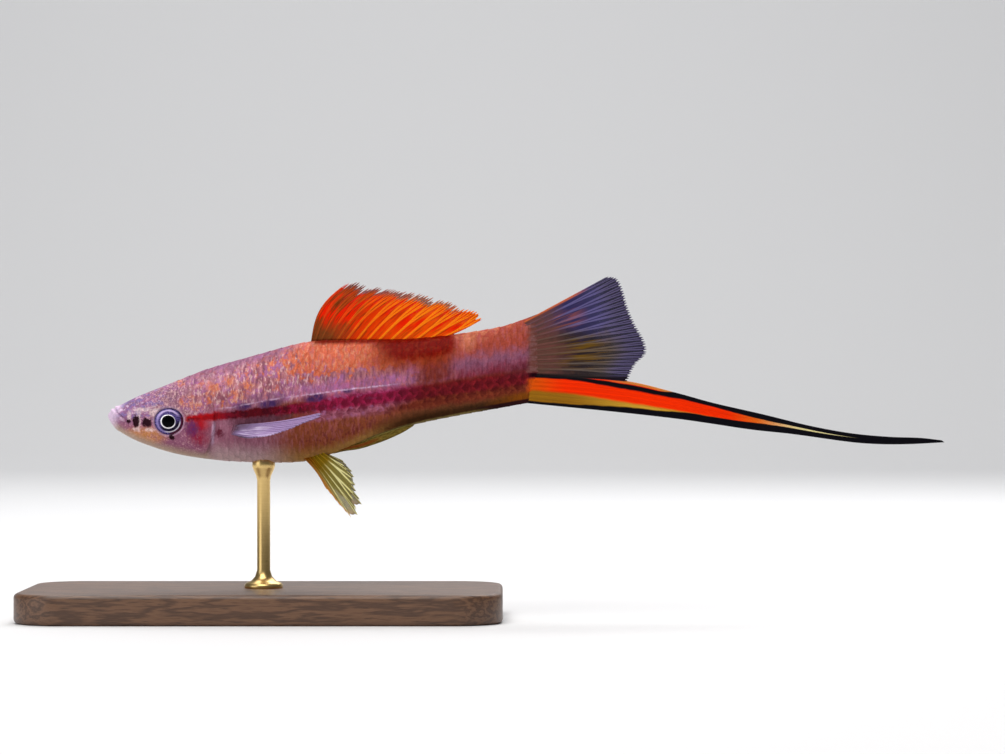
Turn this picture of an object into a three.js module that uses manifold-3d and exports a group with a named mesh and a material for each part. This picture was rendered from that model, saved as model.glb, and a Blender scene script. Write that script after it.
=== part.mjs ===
// A male swordtail, life-size, held above a small wooden base by one brass rod.
// Millimetres, +Z up. The fish faces -X and its left side faces -Y.
// The origin is on the underside of the base, straight below the rod.
// Fish sizes are given as s, the distance behind the snout tip, and h, the height above the snout tip.
import * as THREE from "three";
import { mergeGeometries, mergeVertices } from "three/addons/utils/BufferGeometryUtils.js";
import Module from "manifold-3d";

// Driving dimensions of the fish
const fleshEnd = 70.4; // where the flesh stops and the tail fin starts
const noseRound = 1.6; // length over which the snout closes
const snoutHeight = 34; // snout tip above the floor
const gap = 0.3; // clearance kept between neighbouring pieces

// Driving dimensions of the stand
const rodStation = 26; // s of the rod under the belly
const baseLength = 80;
const baseWidth = 42;
const baseHeight = 5;
const baseCorner = 8;
const baseBevel = 0.8;
const rodRadius = 1.1;
const rodFoot = 3.2;
const rodSaddle = 1.9;

// Smooth line through [x, value] pairs
function through(points) {
  const slopes = points.map((p, i) => {
    const before = points[Math.max(i - 1, 0)];
    const after = points[Math.min(i + 1, points.length - 1)];
    return (after[1] - before[1]) / (after[0] - before[0]);
  });
  return (x) => {
    let i = 0;
    while (i < points.length - 2 && x > points[i + 1][0]) i++;
    const [x0, y0] = points[i];
    const [x1, y1] = points[i + 1];
    const width = x1 - x0;
    const t = THREE.MathUtils.clamp((x - x0) / width, 0, 1);
    const rise = t * t * (3 - 2 * t);
    const startPull = t * (1 - t) * (1 - t) * width * slopes[i];
    const endPull = t * t * (1 - t) * width * slopes[i + 1];
    return y0 + (y1 - y0) * rise + startPull - endPull;
  };
}

// Body form: back and belly lines, half width, height of the widest level, and how square a section is
const back = through([
  [0, 0.8], [1.3, 1.25], [2.8, 2.0], [5.3, 3.2], [10.8, 5.35], [16.4, 7.55], [24.7, 9.95],
  [33.6, 12.2], [42, 12.5], [50, 12.65], [56.8, 13.3], [61.8, 14.0], [66.4, 14.9], [70.4, 16.3],
]);
const belly = through([
  [0, -1.4], [1.4, -2.5], [3.6, -3.85], [6.1, -4.95], [10.8, -6.45], [16.4, -7.45], [21.9, -7.9],
  [27.5, -8.05], [32.7, -7.85], [36.8, -6.8], [40.4, -5.5], [45, -3.6], [51, -1.75], [59.7, 0.05],
  [65, 0.95], [70.4, 1.9],
]);
const halfWidth = through([
  [0, 1.4], [1.4, 2.15], [3.6, 2.8], [6, 3.25], [10.8, 4.05], [16.4, 4.7], [23, 5.0], [30, 4.85],
  [38, 4.25], [46, 3.45], [54, 2.65], [62, 1.9], [70.4, 1.1],
]);
const widest = through([[0, -0.2], [5, -0.7], [16, -0.3], [30, 1.8], [45, 4.4], [60, 7.2], [70.4, 9]]);
const squareness = through([[0, 2.3], [8, 2.6], [16, 2.3], [30, 2.1], [70.4, 2.0]]);

// The section at s, grown outwards by a clearance
function sectionAt(s, grow) {
  const run = (s + grow) / (noseRound + grow);
  const close = run < 1 ? Math.sqrt(Math.max(1 - (1 - run) ** 2, 0)) : 1;
  const inside = THREE.MathUtils.clamp(s, 0, fleshEnd);
  const middle = widest(inside);
  return {
    middle,
    up: (back(inside) + grow - middle) * close,
    down: (middle - belly(inside) + grow) * close,
    half: (halfWidth(inside) + grow) * close,
    power: squareness(inside),
  };
}

// Half width of the body surface at one height
function sideAt(s, h, grow = 0) {
  const { middle, up, down, half, power } = sectionAt(s, grow);
  const share = Math.min(Math.abs(h - middle) / (h > middle ? up : down), 1);
  return half * (1 - share ** power) ** (1 / power);
}

// Height of the underside at one distance off the middle plane
function underAt(s, y) {
  const { middle, down, half, power } = sectionAt(s, 0);
  const share = Math.min(Math.abs(y) / half, 1);
  return middle - down * (1 - share ** power) ** (1 / power);
}

// Manifold joins and cuts
const wasm = await Module();
wasm.setup();

function toSolid(geometry) {
  const bare = geometry.clone();
  for (const name of Object.keys(bare.attributes)) {
    if (name !== "position") bare.deleteAttribute(name);
  }
  const merged = mergeVertices(bare, 1e-3);
  const corners = [];
  for (let i = 0; i < merged.index.count; i += 3) {
    const [a, b, c] = [0, 1, 2].map((k) => merged.index.getX(i + k));
    if (a !== b && b !== c && c !== a) corners.push(a, b, c);
  }
  const vertProperties = merged.attributes.position.array;
  const wound = (order) => {
    return new wasm.Manifold(new wasm.Mesh({ numProp: 3, vertProperties, triVerts: new Uint32Array(order) }));
  };
  const solid = wound(corners);
  return solid.volume() > 0 ? solid : wound(corners.reverse());
}

function largestBody(solid) {
  const bodies = solid.decompose();
  return bodies.reduce((best, body) => (body.volume() > best.volume() ? body : best));
}

function toGeometry(solid) {
  const { vertProperties, triVerts } = solid.getMesh();
  const geometry = new THREE.BufferGeometry();
  geometry.setAttribute("position", new THREE.BufferAttribute(vertProperties, 3));
  geometry.setIndex(new THREE.BufferAttribute(triVerts, 1));
  const faceted = geometry.toNonIndexed();
  faceted.computeVertexNormals();
  return faceted;
}

// A side-view outline of [s, h] points, pushed through the fish from one y to another
function sideSlab(outline, yFrom, yTo) {
  const shape = new THREE.Shape(outline.map(([s, h]) => new THREE.Vector2(s, h)));
  const slab = new THREE.ExtrudeGeometry(shape, { depth: yTo - yFrom, bevelEnabled: false });
  slab.rotateX(Math.PI / 2);
  slab.translate(0, yTo, 0);
  return toSolid(slab);
}

// Whole body, nose to tail fin, as one lofted skin
function bodyLoft(grow) {
  const around = 32;
  const along = 42;
  const loft = new THREE.SphereGeometry(1, around, along);
  const { position, uv } = loft.attributes;
  for (let i = 0; i < position.count; i++) {
    const travel = 1 - uv.getY(i);
    const lastRing = 1 - 1 / along;
    const reach = Math.min(travel / lastRing, 1) ** 1.3;
    const s = -grow + (fleshEnd + 2 * grow) * reach;
    const section = sectionAt(s, grow);
    const isPole = travel < 1e-6 || travel > 1 - 1e-6;
    const turn = 2 * Math.PI * Math.round(uv.getX(i) * around) / around;
    const across = isPole ? 0 : Math.cos(turn);
    const upright = isPole ? 0 : Math.sin(turn);
    const round = (value) => Math.sign(value) * Math.abs(value) ** (2 / section.power);
    const h = section.middle + round(upright) * (upright > 0 ? section.up : section.down);
    position.setXYZ(i, s, round(across) * section.half, h);
  }
  return toSolid(loft);
}

// Mouth: the cleft runs back and down from the front of the snout to the corner of the mouth
const cleftFront = [1.0, 1.07];
const cleftCorner = [3.2, -1.0];
const chinEnd = [6.2, -6.8];
const lipRadius = 0.36;

const cleftAlong = new THREE.Vector2(cleftCorner[0] - cleftFront[0], cleftCorner[1] - cleftFront[1]).normalize();
const cleftUp = new THREE.Vector2(-cleftAlong.y, cleftAlong.x);

function lip(shift) {
  const path = [];
  for (let step = -4; step <= 4; step++) {
    const q = step / 4;
    const s = THREE.MathUtils.lerp(cleftFront[0], cleftCorner[0], q * q);
    const h = THREE.MathUtils.lerp(cleftFront[1], cleftCorner[1], q * q);
    const y = Math.sign(q) * (sideAt(s, h) - lipRadius * 0.4);
    path.push(new THREE.Vector3(s + shift * cleftUp.x, y, h + shift * cleftUp.y));
  }
  const ring = new THREE.Shape().absarc(0, 0, lipRadius, 0, 2 * Math.PI);
  const tube = new THREE.ExtrudeGeometry(ring, {
    extrudePath: new THREE.CatmullRomCurve3(path),
    steps: 10,
    curveSegments: 4,
    bevelEnabled: false,
  });
  return toSolid(tube);
}

// The jaw outline lies ahead of the cleft and the cheek line, moved by a clearance
function jawOutline(shift) {
  const cheek = new THREE.Vector2(chinEnd[0] - cleftCorner[0], chinEnd[1] - cleftCorner[1]).normalize();
  const entry = [cleftFront[0] - 3 * cleftAlong.x, cleftFront[1] - 3 * cleftAlong.y];
  return [
    [entry[0] - shift * cleftUp.x, entry[1] - shift * cleftUp.y],
    [cleftCorner[0] - shift * cleftUp.x, cleftCorner[1] - shift * cleftUp.y],
    [chinEnd[0] + shift * cheek.y, chinEnd[1] - shift * cheek.x],
    [-4, chinEnd[1]],
    [-4, entry[1]],
  ];
}

// Eyes
const eyeStation = 10.65;
const eyeHeight = -1.1;
const eyeRadius = 2.35;
const eyeTall = 0.94; // height of the eye as a share of its length
const eyeDepth = 1.7;
const eyeBulge = 0.4;
const eyeYaw = THREE.MathUtils.degToRad(8);
const pupilRadius = 1.07;
const pupilProud = 0.12;
const orbitRadius = 2.62;
const orbitRim = 0.28;

function placeEyePart(geometry, side, sink) {
  geometry.rotateZ(side * eyeYaw);
  const surface = sideAt(eyeStation, eyeHeight);
  geometry.translate(eyeStation, side * (surface - sink), eyeHeight);
  return toSolid(geometry);
}

function eyeball(side, grow) {
  const ball = new THREE.SphereGeometry(1, 20, 10);
  ball.scale(eyeRadius + grow, eyeDepth + grow, eyeRadius * eyeTall + grow);
  return placeEyePart(ball, side, eyeDepth - eyeBulge);
}

// The pupil stands on the eyeball as a low dome
function eye(side) {
  const lens = new THREE.SphereGeometry(1, 14, 6);
  lens.scale(pupilRadius, pupilRadius, pupilRadius * eyeTall);
  return eyeball(side, 0).add(placeEyePart(lens, side, pupilRadius - eyeBulge - pupilProud));
}

function orbit(side) {
  const rim = new THREE.TorusGeometry(orbitRadius, orbitRim, 5, 22);
  rim.rotateX(Math.PI / 2);
  rim.scale(1, 1, eyeTall);
  return placeEyePart(rim, side, 0.05);
}

// Nostrils, two on each side between the upper lip and the eye
const nostrils = [
  { s: 4.6, h: 1.0, radius: 0.26 },
  { s: 6.2, h: 1.75, radius: 0.32 },
];

function nostrilHole({ s, h, radius }, side) {
  const hole = new THREE.CylinderGeometry(radius, radius, 1.2, 8);
  hole.translate(s, side * sideAt(s, h), h);
  return toSolid(hole);
}

// Gill covers: plates on the cheeks that stand a little proud, and end at the gill opening
const gillCentre = [8, -1];
const gillRadius = 9.8;
const coverProud = 0.4;
const coverSunk = 0.6;
const coverCentre = [18.25, -1.4];
const coverRadii = [4.4, 5.1];

function gillOutline(radius) {
  const outline = [[-6, gillCentre[1] - radius]];
  for (let degrees = -90; degrees <= 90; degrees += 6) {
    const turn = THREE.MathUtils.degToRad(degrees);
    outline.push([gillCentre[0] + radius * Math.cos(turn), gillCentre[1] + radius * Math.sin(turn)]);
  }
  outline.push([-6, gillCentre[1] + radius]);
  return outline;
}

function coverOutline(grow) {
  const oval = new THREE.EllipseCurve(...coverCentre, coverRadii[0] + grow, coverRadii[1] + grow);
  return oval.getPoints(26).slice(0, -1).map((p) => [p.x, p.y]);
}

// Head, jaw, gill covers, trunk and tail stalk are cut from the one body
const stalkStation = 58;
const farSide = 12;
const body = bodyLoft(0);
const bodyClear = bodyLoft(gap);
const lippedBody = body.add(lip(lipRadius + gap / 4)).add(lip(-lipRadius - gap / 4));
const headRegion = sideSlab(gillOutline(gillRadius - gap / 2), -farSide, farSide);
const headAndGap = sideSlab(gillOutline(gillRadius + gap / 2), -farSide, farSide);
const jawRegion = sideSlab(jawOutline(gap / 2), -farSide, farSide);
const jawAndGap = sideSlab(jawOutline(-gap / 2), -farSide, farSide);

const lowerJaw = lippedBody.intersect(jawRegion);

function gillCover(side) {
  const [low, high] = side < 0 ? [-farSide, -1] : [1, farSide];
  const plate = bodyLoft(coverProud).subtract(bodyLoft(-coverSunk));
  return plate.intersect(sideSlab(coverOutline(0), low, high)).intersect(headRegion);
}

const coverPocket = sideSlab(coverOutline(gap), -farSide, farSide).subtract(bodyLoft(-coverSunk - gap));

function headSolid() {
  let head = lippedBody.intersect(headRegion).subtract(jawAndGap).subtract(coverPocket);
  for (const side of [-1, 1]) {
    head = head.add(orbit(side)).subtract(eyeball(side, gap));
    for (const nostril of nostrils) head = head.subtract(nostrilHole(nostril, side));
  }
  return head;
}

const behindHead = body.subtract(headAndGap);
const stalkRegion = (from, to) => sideSlab([[from, -20], [to, -20], [to, 30], [from, 30]], -farSide, farSide);
const trunk = behindHead.intersect(stalkRegion(0, stalkStation - gap / 2));
const tailStalk = behindHead.intersect(stalkRegion(stalkStation + gap / 2, fleshEnd + 1));

// Fins. A fin is one closed sheet between a root line and a margin line, with its rays as ridges on both faces.
// Its first and last ray bow by the two values of bow.
function finSolid({ root, margin, rays, rows, web, ridge, bow = [0, 0], fray = 0.05, camber = 0, edge = 0.3 }) {
  const pitch = 1 / (rays - 1 + 2 * edge);
  const columns = [{ u: 0, crest: 0, rim: true }];
  for (let ray = 0; ray < rays; ray++) {
    const centre = (ray + edge) * pitch;
    columns.push({ u: centre - 0.24 * pitch, crest: 0 });
    columns.push({ u: centre, crest: 1 });
    columns.push({ u: centre + 0.24 * pitch, crest: 0 });
  }
  columns.push({ u: 1, crest: 0, rim: true });
  const levels = [{ v: 0, rim: true }];
  for (let row = 0; row < rows; row++) levels.push({ v: (row / rows) * 0.97 });
  levels.push({ v: 1, rim: true });

  const sheetPoint = (u, v) => {
    const start = root(u);
    const along = margin(u).sub(start);
    const sideways = new THREE.Vector3(-along.z, 0, along.x).normalize();
    const swell = THREE.MathUtils.lerp(bow[0], bow[1], u) * Math.sin(Math.PI * v);
    const point = start.add(along.multiplyScalar(v)).addScaledVector(sideways, swell);
    point.y += camber * v * v * Math.sin(Math.PI * (0.25 + 1.5 * u));
    return point;
  };
  const faces = [1, -1].map((face) => {
    const sheet = new THREE.PlaneGeometry(1, 1, columns.length - 1, levels.length - 1);
    levels.forEach((level, row) => {
      columns.forEach((column, k) => {
        const reach = level.v * (1 - fray * (column.crest ? 0 : 1));
        const step = 0.01;
        const uLow = Math.max(column.u - step, 0);
        const uHigh = Math.min(column.u + step, 1);
        const alongU = sheetPoint(uHigh, reach).sub(sheetPoint(uLow, reach));
        const alongV = sheetPoint(column.u, Math.min(reach + step, 1)).sub(sheetPoint(column.u, reach - step));
        const normal = alongU.cross(alongV).normalize();
        const thick = web(level.v) + column.crest * ridge(level.v);
        const offset = column.rim || level.rim ? 0 : thick;
        const point = sheetPoint(column.u, reach).addScaledVector(normal, face * offset);
        sheet.attributes.position.setXYZ(row * columns.length + k, point.x, point.y, point.z);
      });
    });
    if (face < 0) sheet.index.array.reverse();
    return sheet;
  });
  return toSolid(mergeGeometries(faces));
}

// A line of [s, h, y] points that is read by its share of the length
function lineThrough(points) {
  const curve = new THREE.CatmullRomCurve3(points.map(([s, h, y = 0]) => new THREE.Vector3(s, y, h)));
  return (u) => curve.getPointAt(u);
}

const finWeb = 0.25; // half thickness between the rays
const thinning = (from, to) => (v) => THREE.MathUtils.lerp(from, to, v);

// Dorsal fin, a low sail that rises at its front
const dorsalRoot = [33.9, 56.9];
const dorsalFin = finSolid({
  root: (u) => {
    const s = THREE.MathUtils.lerp(dorsalRoot[0], dorsalRoot[1], u);
    return new THREE.Vector3(s, 0, back(s) + gap);
  },
  margin: lineThrough([
    [39.6, 21.8], [41.2, 22.25], [43.6, 21.7], [46.6, 21.1], [49.4, 20.8], [52.4, 20.2], [55.2, 19.4], [58.4, 18.5],
    [60.8, 17.6], [62.4, 16.8], [62.9, 16.1],
  ]),
  rays: 14,
  rows: 4,
  bow: [1.5, -0.15],
  camber: 0.5,
  fray: 0.08,
  web: thinning(0.32, finWeb),
  ridge: thinning(0.25, 0.1),
});

// Tail fin above the sword
const swordSeam = [6.95, 5.75]; // height of the seam between fan and sword, at the root and at the fan's rear
const caudalRootTop = 16.2;
const caudalFin = finSolid({
  root: lineThrough([[fleshEnd + gap, caudalRootTop], [fleshEnd + gap, 11.8], [fleshEnd + gap, swordSeam[0] + gap / 2]]),
  margin: lineThrough([
    [83.5, 23.1], [85.1, 22.8], [86.1, 21.0], [86.9, 18.2], [88.1, 15.3], [89.8, 12.2], [90.0, 10.2],
    [88.3, 8.4], [86.8, swordSeam[1] + gap],
  ]),
  rays: 17,
  rows: 4,
  fray: 0.04,
  web: (v) => Math.max(finWeb, 0.8 - 2.4 * v),
  ridge: thinning(0.22, 0.1),
});

// Sword: the lower rays of the tail fin, drawn out into a long blade
const swordRootS = fleshEnd + gap;
const swordTip = [140.2, -4.6];
const swordTop = lineThrough([
  [swordRootS, swordSeam[0] - gap / 2], [86.6, swordSeam[1] - gap], [95, 3.65, 0.1], [101, 2.0, 0.2],
  [109.7, 0.0, 0.5], [117.5, -1.9, 0.9], [124.4, -3.15, 1.3], [130.8, -3.75, 1.8], [136.2, -3.95, 2.2],
  [swordTip[0] - 0.5, swordTip[1] + 0.25, 2.5],
]);
const swordBottom = lineThrough([
  [swordRootS, 1.9], [85.2, 0.4], [95, -0.7, 0.1], [100, -1.4, 0.2], [107.7, -2.55, 0.5], [114.6, -3.3, 0.8],
  [124.4, -4.65, 1.3], [129.3, -5.0, 1.8], [134.2, -5.0, 2.1], [swordTip[0], swordTip[1] - 0.1, 2.5],
]);
const swordRays = 4;
const swordSteps = 12;

// The sword's sheet runs from root to tip, so its root and margin are cross lines and its rays lie lengthwise
function swordSolid() {
  const columns = [{ u: 0, crest: 0, rim: true }];
  for (let ray = 0; ray < swordRays; ray++) {
    const centre = (ray + 0.5) / swordRays;
    columns.push({ u: centre - 0.3 / swordRays, crest: 0 });
    columns.push({ u: centre, crest: 1 });
    columns.push({ u: centre + 0.3 / swordRays, crest: 0 });
  }
  columns.push({ u: 1, crest: 0, rim: true });
  const levels = [{ v: 0, rim: true }];
  for (let step = 0; step < swordSteps; step++) levels.push({ v: (step / swordSteps) * 0.985 });
  levels.push({ v: 1, rim: true });
  const faces = [1, -1].map((face) => {
    const sheet = new THREE.PlaneGeometry(1, 1, columns.length - 1, levels.length - 1);
    levels.forEach((level, row) => {
      columns.forEach((column, k) => {
        const point = swordTop(level.v).lerp(swordBottom(level.v), column.u);
        const thick = Math.max(0.25, 0.75 - 3 * level.v) + column.crest * THREE.MathUtils.lerp(0.22, 0.08, level.v);
        point.y += face * (column.rim || level.rim ? 0 : thick);
        sheet.attributes.position.setXYZ(row * columns.length + k, point.x, point.y, point.z);
      });
    });
    if (face < 0) sheet.index.array.reverse();
    return sheet;
  });
  return toSolid(mergeGeometries(faces));
}

// Pelvic fins: a short first ray, then a long pointed one and a fan behind it
const pelvicRoot = [32.5, 35.9];
const pelvicOff = 1.2; // root's distance off the middle plane
const pelvicSink = 0.8; // how far a root starts inside the body before it is cut clear
function pelvicFin(side, spread, size) {
  const tips = [
    [36.5, -12.3, 2.3], [41.0, -17.4, 3.4], [42.0, -17.1, 3.5], [41.3, -14.6, 3.6], [41.2, -12.0, 3.5],
    [40.9, -10.4, 3.2], [39.4, -8.3, 2.6],
  ];
  const hinge = [34.2, -7.9];
  const margin = tips.map(([s, h, y]) => {
    const arm = new THREE.Vector2(s - hinge[0], h - hinge[1]).multiplyScalar(size);
    arm.rotateAround(new THREE.Vector2(0, 0), spread);
    return [hinge[0] + arm.x, hinge[1] + arm.y, side * y];
  });
  const fin = finSolid({
    root: (u) => {
      const s = THREE.MathUtils.lerp(pelvicRoot[0], pelvicRoot[1], u);
      return new THREE.Vector3(s, side * pelvicOff, underAt(s, pelvicOff) + pelvicSink);
    },
    margin: lineThrough(margin),
    rays: 7,
    rows: 3,
    bow: [0.35, 0],
    fray: 0.05,
    web: thinning(0.35, finWeb),
    ridge: thinning(0.28, 0.12),
  });
  return fin.subtract(bodyClear);
}

// Pectoral fins: smooth paddles that sweep back and out from the flank, seen almost edge-on from the side
const pectoralFrom = 20.6;
const pectoralTo = 36.4;
const pectoralThick = 0.38; // half thickness
const pectoralOff = gap + 0.45; // how far the root's middle stands off the flank
const pectoralRootHeight = { inner: -1.9, outer: -3.3 };

function pectoralFin(side) {
  const rootMiddle = (pectoralRootHeight.inner + pectoralRootHeight.outer) / 2;
  const rootY = sideAt(pectoralFrom, rootMiddle) + pectoralOff;
  const innerY = through([[pectoralFrom, rootY], [pectoralTo, 8.0]]);
  const innerHeight = through([[pectoralFrom, pectoralRootHeight.inner], [pectoralTo, 0.3]]);
  const outerY = through([[pectoralFrom, rootY], [24.8, 8.8], [27.8, 10.6], [31, 11.2], [34, 10.4], [pectoralTo, 8.6]]);
  const outerHeight = through([
    [pectoralFrom, pectoralRootHeight.outer], [24.8, -3.7], [27.8, -3.3], [31, -2.3], [34, -1.0], [pectoralTo, -0.1],
  ]);
  const around = 16;
  const paddle = new THREE.SphereGeometry(1, around, 14);
  const { position, uv } = paddle.attributes;
  for (let i = 0; i < position.count; i++) {
    const travel = 1 - uv.getY(i);
    const s = THREE.MathUtils.lerp(pectoralFrom, pectoralTo, travel);
    const close = Math.sqrt(Math.max(1 - (2 * travel - 1) ** 4, 0));
    const turn = 2 * Math.PI * Math.round(uv.getX(i) * around) / around;
    const inner = new THREE.Vector2(innerY(s), innerHeight(s));
    const outer = new THREE.Vector2(outerY(s), outerHeight(s));
    const half = outer.clone().sub(inner).multiplyScalar(0.5);
    const across = new THREE.Vector2(-half.y, half.x).normalize();
    const spot = inner.add(half);
    spot.addScaledVector(half, close * Math.cos(turn));
    spot.addScaledVector(across, close * pectoralThick * Math.sin(turn));
    position.setXYZ(i, s, side * spot.x, spot.y);
  }
  return toSolid(paddle);
}

// Gonopodium, the male's rod-like anal fin, folded back under the belly
const gonopodiumLine = [
  { s: 37.6, y: -0.1, tall: 0.55, wide: 0.7 },
  { s: 39.4, y: -0.3, tall: 0.5, wide: 0.62 },
  { s: 42.2, y: -0.55, tall: 0.6, wide: 0.52 },
  { s: 45.6, y: -0.65, tall: 0.71, wide: 0.44 },
  { s: 48.9, y: -0.65, tall: 0.55, wide: 0.38 },
  { s: 51.2, y: -0.6, tall: 0.24, wide: 0.3 },
];
const gonopodiumRise = { height: 0.9, until: 0.45 }; // how far its root climbs into the belly, and over what share
function gonopodium() {
  const at = (key) => through(gonopodiumLine.map((place) => [place.s, place[key]]));
  const [sideways, tall, wide] = ["y", "tall", "wide"].map(at);
  const first = gonopodiumLine[0].s;
  const last = gonopodiumLine[gonopodiumLine.length - 1].s;
  const rod = new THREE.SphereGeometry(1, 10, 10);
  const { position, uv } = rod.attributes;
  for (let i = 0; i < position.count; i++) {
    const travel = 1 - uv.getY(i);
    const s = THREE.MathUtils.lerp(first, last, travel);
    const close = Math.sqrt(Math.max(1 - (2 * travel - 1) ** 8, 0));
    const turn = 2 * Math.PI * Math.round(uv.getX(i) * 10) / 10;
    const ribbed = Math.round(uv.getX(i) * 10) % 2 ? 1 : 0.86;
    const rise = gonopodiumRise.height * (1 - THREE.MathUtils.smoothstep(travel, 0, gonopodiumRise.until));
    const centre = underAt(s, sideways(s)) - gap - tall(s) + rise;
    const y = sideways(s) + wide(s) * close * ribbed * Math.cos(turn);
    position.setXYZ(i, s, y, centre + tall(s) * close * ribbed * Math.sin(turn));
  }
  return toSolid(rod).subtract(bodyClear);
}

// Stand
function standBase() {
  const x = baseLength / 2 - baseBevel;
  const y = baseWidth / 2 - baseBevel;
  const r = baseCorner;
  const plan = new THREE.Shape();
  plan.absarc(x - r, y - r, r, 0, Math.PI / 2);
  plan.absarc(-x + r, y - r, r, Math.PI / 2, Math.PI);
  plan.absarc(-x + r, -y + r, r, Math.PI, 1.5 * Math.PI);
  plan.absarc(x - r, -y + r, r, 1.5 * Math.PI, 2 * Math.PI);
  const plate = new THREE.ExtrudeGeometry(plan, {
    depth: baseHeight - 2 * baseBevel,
    bevelThickness: baseBevel,
    bevelSize: baseBevel,
    bevelSegments: 2,
    curveSegments: 6,
  });
  plate.translate(0, 0, baseBevel);
  return toSolid(plate);
}

function standRod() {
  const foot = baseHeight + gap;
  const bellyHeight = snoutHeight + underAt(rodStation, 0);
  const profile = [
    [0, foot], [rodFoot, foot], [rodFoot, foot + 0.7], [rodRadius + 0.9, foot + 1.3], [rodRadius, foot + 2.6],
    [rodRadius, bellyHeight - 2.6], [rodSaddle, bellyHeight - 1], [rodSaddle, bellyHeight + 1.5], [0, bellyHeight + 1.5],
  ];
  const turned = new THREE.LatheGeometry(profile.map(([r, z]) => new THREE.Vector2(r, z)), 20);
  turned.rotateX(Math.PI / 2);
  const rod = toSolid(turned);
  return rod.subtract(bodyClear.translate([-rodStation, 0, snoutHeight]));
}

// Finishes
const finish = (color, roughness, more = {}) => new THREE.MeshStandardMaterial({ color, roughness, metalness: 0, ...more });
const skin = finish(0xb0707a, 0.35);
const paleSkin = finish(0xc9a4b4, 0.35);
const redFin = finish(0xd8400c, 0.4);
const clearFin = finish(0x6b6680, 0.4);
const goldFin = finish(0xa8923c, 0.4);
const lilacFin = finish(0xa88cb8, 0.4);
const eyeGlass = finish(0x3a2f5a, 0.1);
const darkWood = finish(0x4a2a18, 0.5);
const brass = finish(0xb98d3e, 0.3, { metalness: 0.9 });

function piece(name, solid, material) {
  const mesh = new THREE.Mesh(toGeometry(largestBody(solid)), material);
  mesh.name = name;
  return mesh;
}

const fish = new THREE.Group();
fish.position.set(-rodStation, 0, snoutHeight);
fish.add(
  piece("head", headSolid(), paleSkin),
  piece("lower_jaw", lowerJaw, paleSkin),
  piece("eye_left", eye(-1), eyeGlass),
  piece("eye_right", eye(1), eyeGlass),
  piece("gill_cover_left", gillCover(-1), skin),
  piece("gill_cover_right", gillCover(1), skin),
  piece("trunk", trunk, skin),
  piece("tail_stalk", tailStalk, skin),
  piece("dorsal_fin", dorsalFin, redFin),
  piece("caudal_fin", caudalFin, clearFin),
  piece("sword", swordSolid(), redFin),
  piece("gonopodium", gonopodium(), goldFin),
  piece("pelvic_fin_left", pelvicFin(-1, 0, 1), goldFin),
  piece("pelvic_fin_right", pelvicFin(1, 0.12, 0.93), goldFin),
  piece("pectoral_fin_left", pectoralFin(-1), lilacFin),
  piece("pectoral_fin_right", pectoralFin(1), lilacFin),
);

const swordtail = new THREE.Group();
swordtail.add(fish, piece("stand_base", standBase(), darkWood), piece("stand_rod", standRod(), brass));

export default swordtail;
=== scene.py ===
import math
import random

import bmesh
import bpy
from mathutils import Matrix, Vector, noise


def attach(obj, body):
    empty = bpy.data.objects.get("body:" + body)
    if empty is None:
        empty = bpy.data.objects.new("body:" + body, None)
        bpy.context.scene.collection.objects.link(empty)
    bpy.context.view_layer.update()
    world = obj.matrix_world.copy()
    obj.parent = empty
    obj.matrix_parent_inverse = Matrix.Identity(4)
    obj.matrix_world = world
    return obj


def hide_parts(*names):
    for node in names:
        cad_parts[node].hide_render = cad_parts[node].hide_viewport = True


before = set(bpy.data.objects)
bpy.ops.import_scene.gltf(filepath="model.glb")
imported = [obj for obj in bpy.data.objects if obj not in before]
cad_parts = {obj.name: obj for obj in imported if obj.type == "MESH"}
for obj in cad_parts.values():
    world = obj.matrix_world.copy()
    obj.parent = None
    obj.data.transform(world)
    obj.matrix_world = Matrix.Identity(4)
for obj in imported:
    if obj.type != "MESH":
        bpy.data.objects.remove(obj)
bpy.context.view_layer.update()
print("frame loaded")

# Where the fish stands over the base
stance = {"rodStation": 26.0, "snoutHeight": 34.0}
sides = ((-1, "Left"), (1, "Right"))


def toWorld(spot):
    s, y, h = spot
    return Vector((s - stance["rodStation"], y, h + stance["snoutHeight"])) * 0.001


def clamp(value, low=0.0, high=1.0):
    return max(low, min(high, value))


def smooth(value, low, high):
    t = clamp((value - low) / (high - low))
    return t * t * (3 - 2 * t)


def hump(value, centre, width):
    return math.exp(-(((value - centre) / width) ** 2))


# A smooth line through (x, value) pairs
def through(points):
    last = len(points) - 1
    slopes = []
    for i in range(last + 1):
        before, after = points[max(i - 1, 0)], points[min(i + 1, last)]
        slopes.append((after[1] - before[1]) / (after[0] - before[0]))

    def at(x):
        i = 0
        while i < last - 1 and x > points[i + 1][0]:
            i += 1
        (x0, y0), (x1, y1) = points[i], points[i + 1]
        width = x1 - x0
        t = clamp((x - x0) / width)
        rise = t * t * (3 - 2 * t)
        pulls = t * (1 - t) * (1 - t) * slopes[i] - t * t * (1 - t) * slopes[i + 1]
        return y0 + (y1 - y0) * rise + pulls * width

    return at


# A smooth line through (s, h, y) points, read by its share of the length
def lineThrough(points):
    spots = [Vector((p[0], p[2] if len(p) > 2 else 0.0, p[1])) for p in points]
    reached = [0.0]
    for a, b in zip(spots, spots[1:]):
        reached.append(reached[-1] + (b - a).length)
    axes = [through([(r / reached[-1], spot[k]) for r, spot in zip(reached, spots)]) for k in range(3)]
    return lambda u: Vector([axis(u) for axis in axes])


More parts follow.
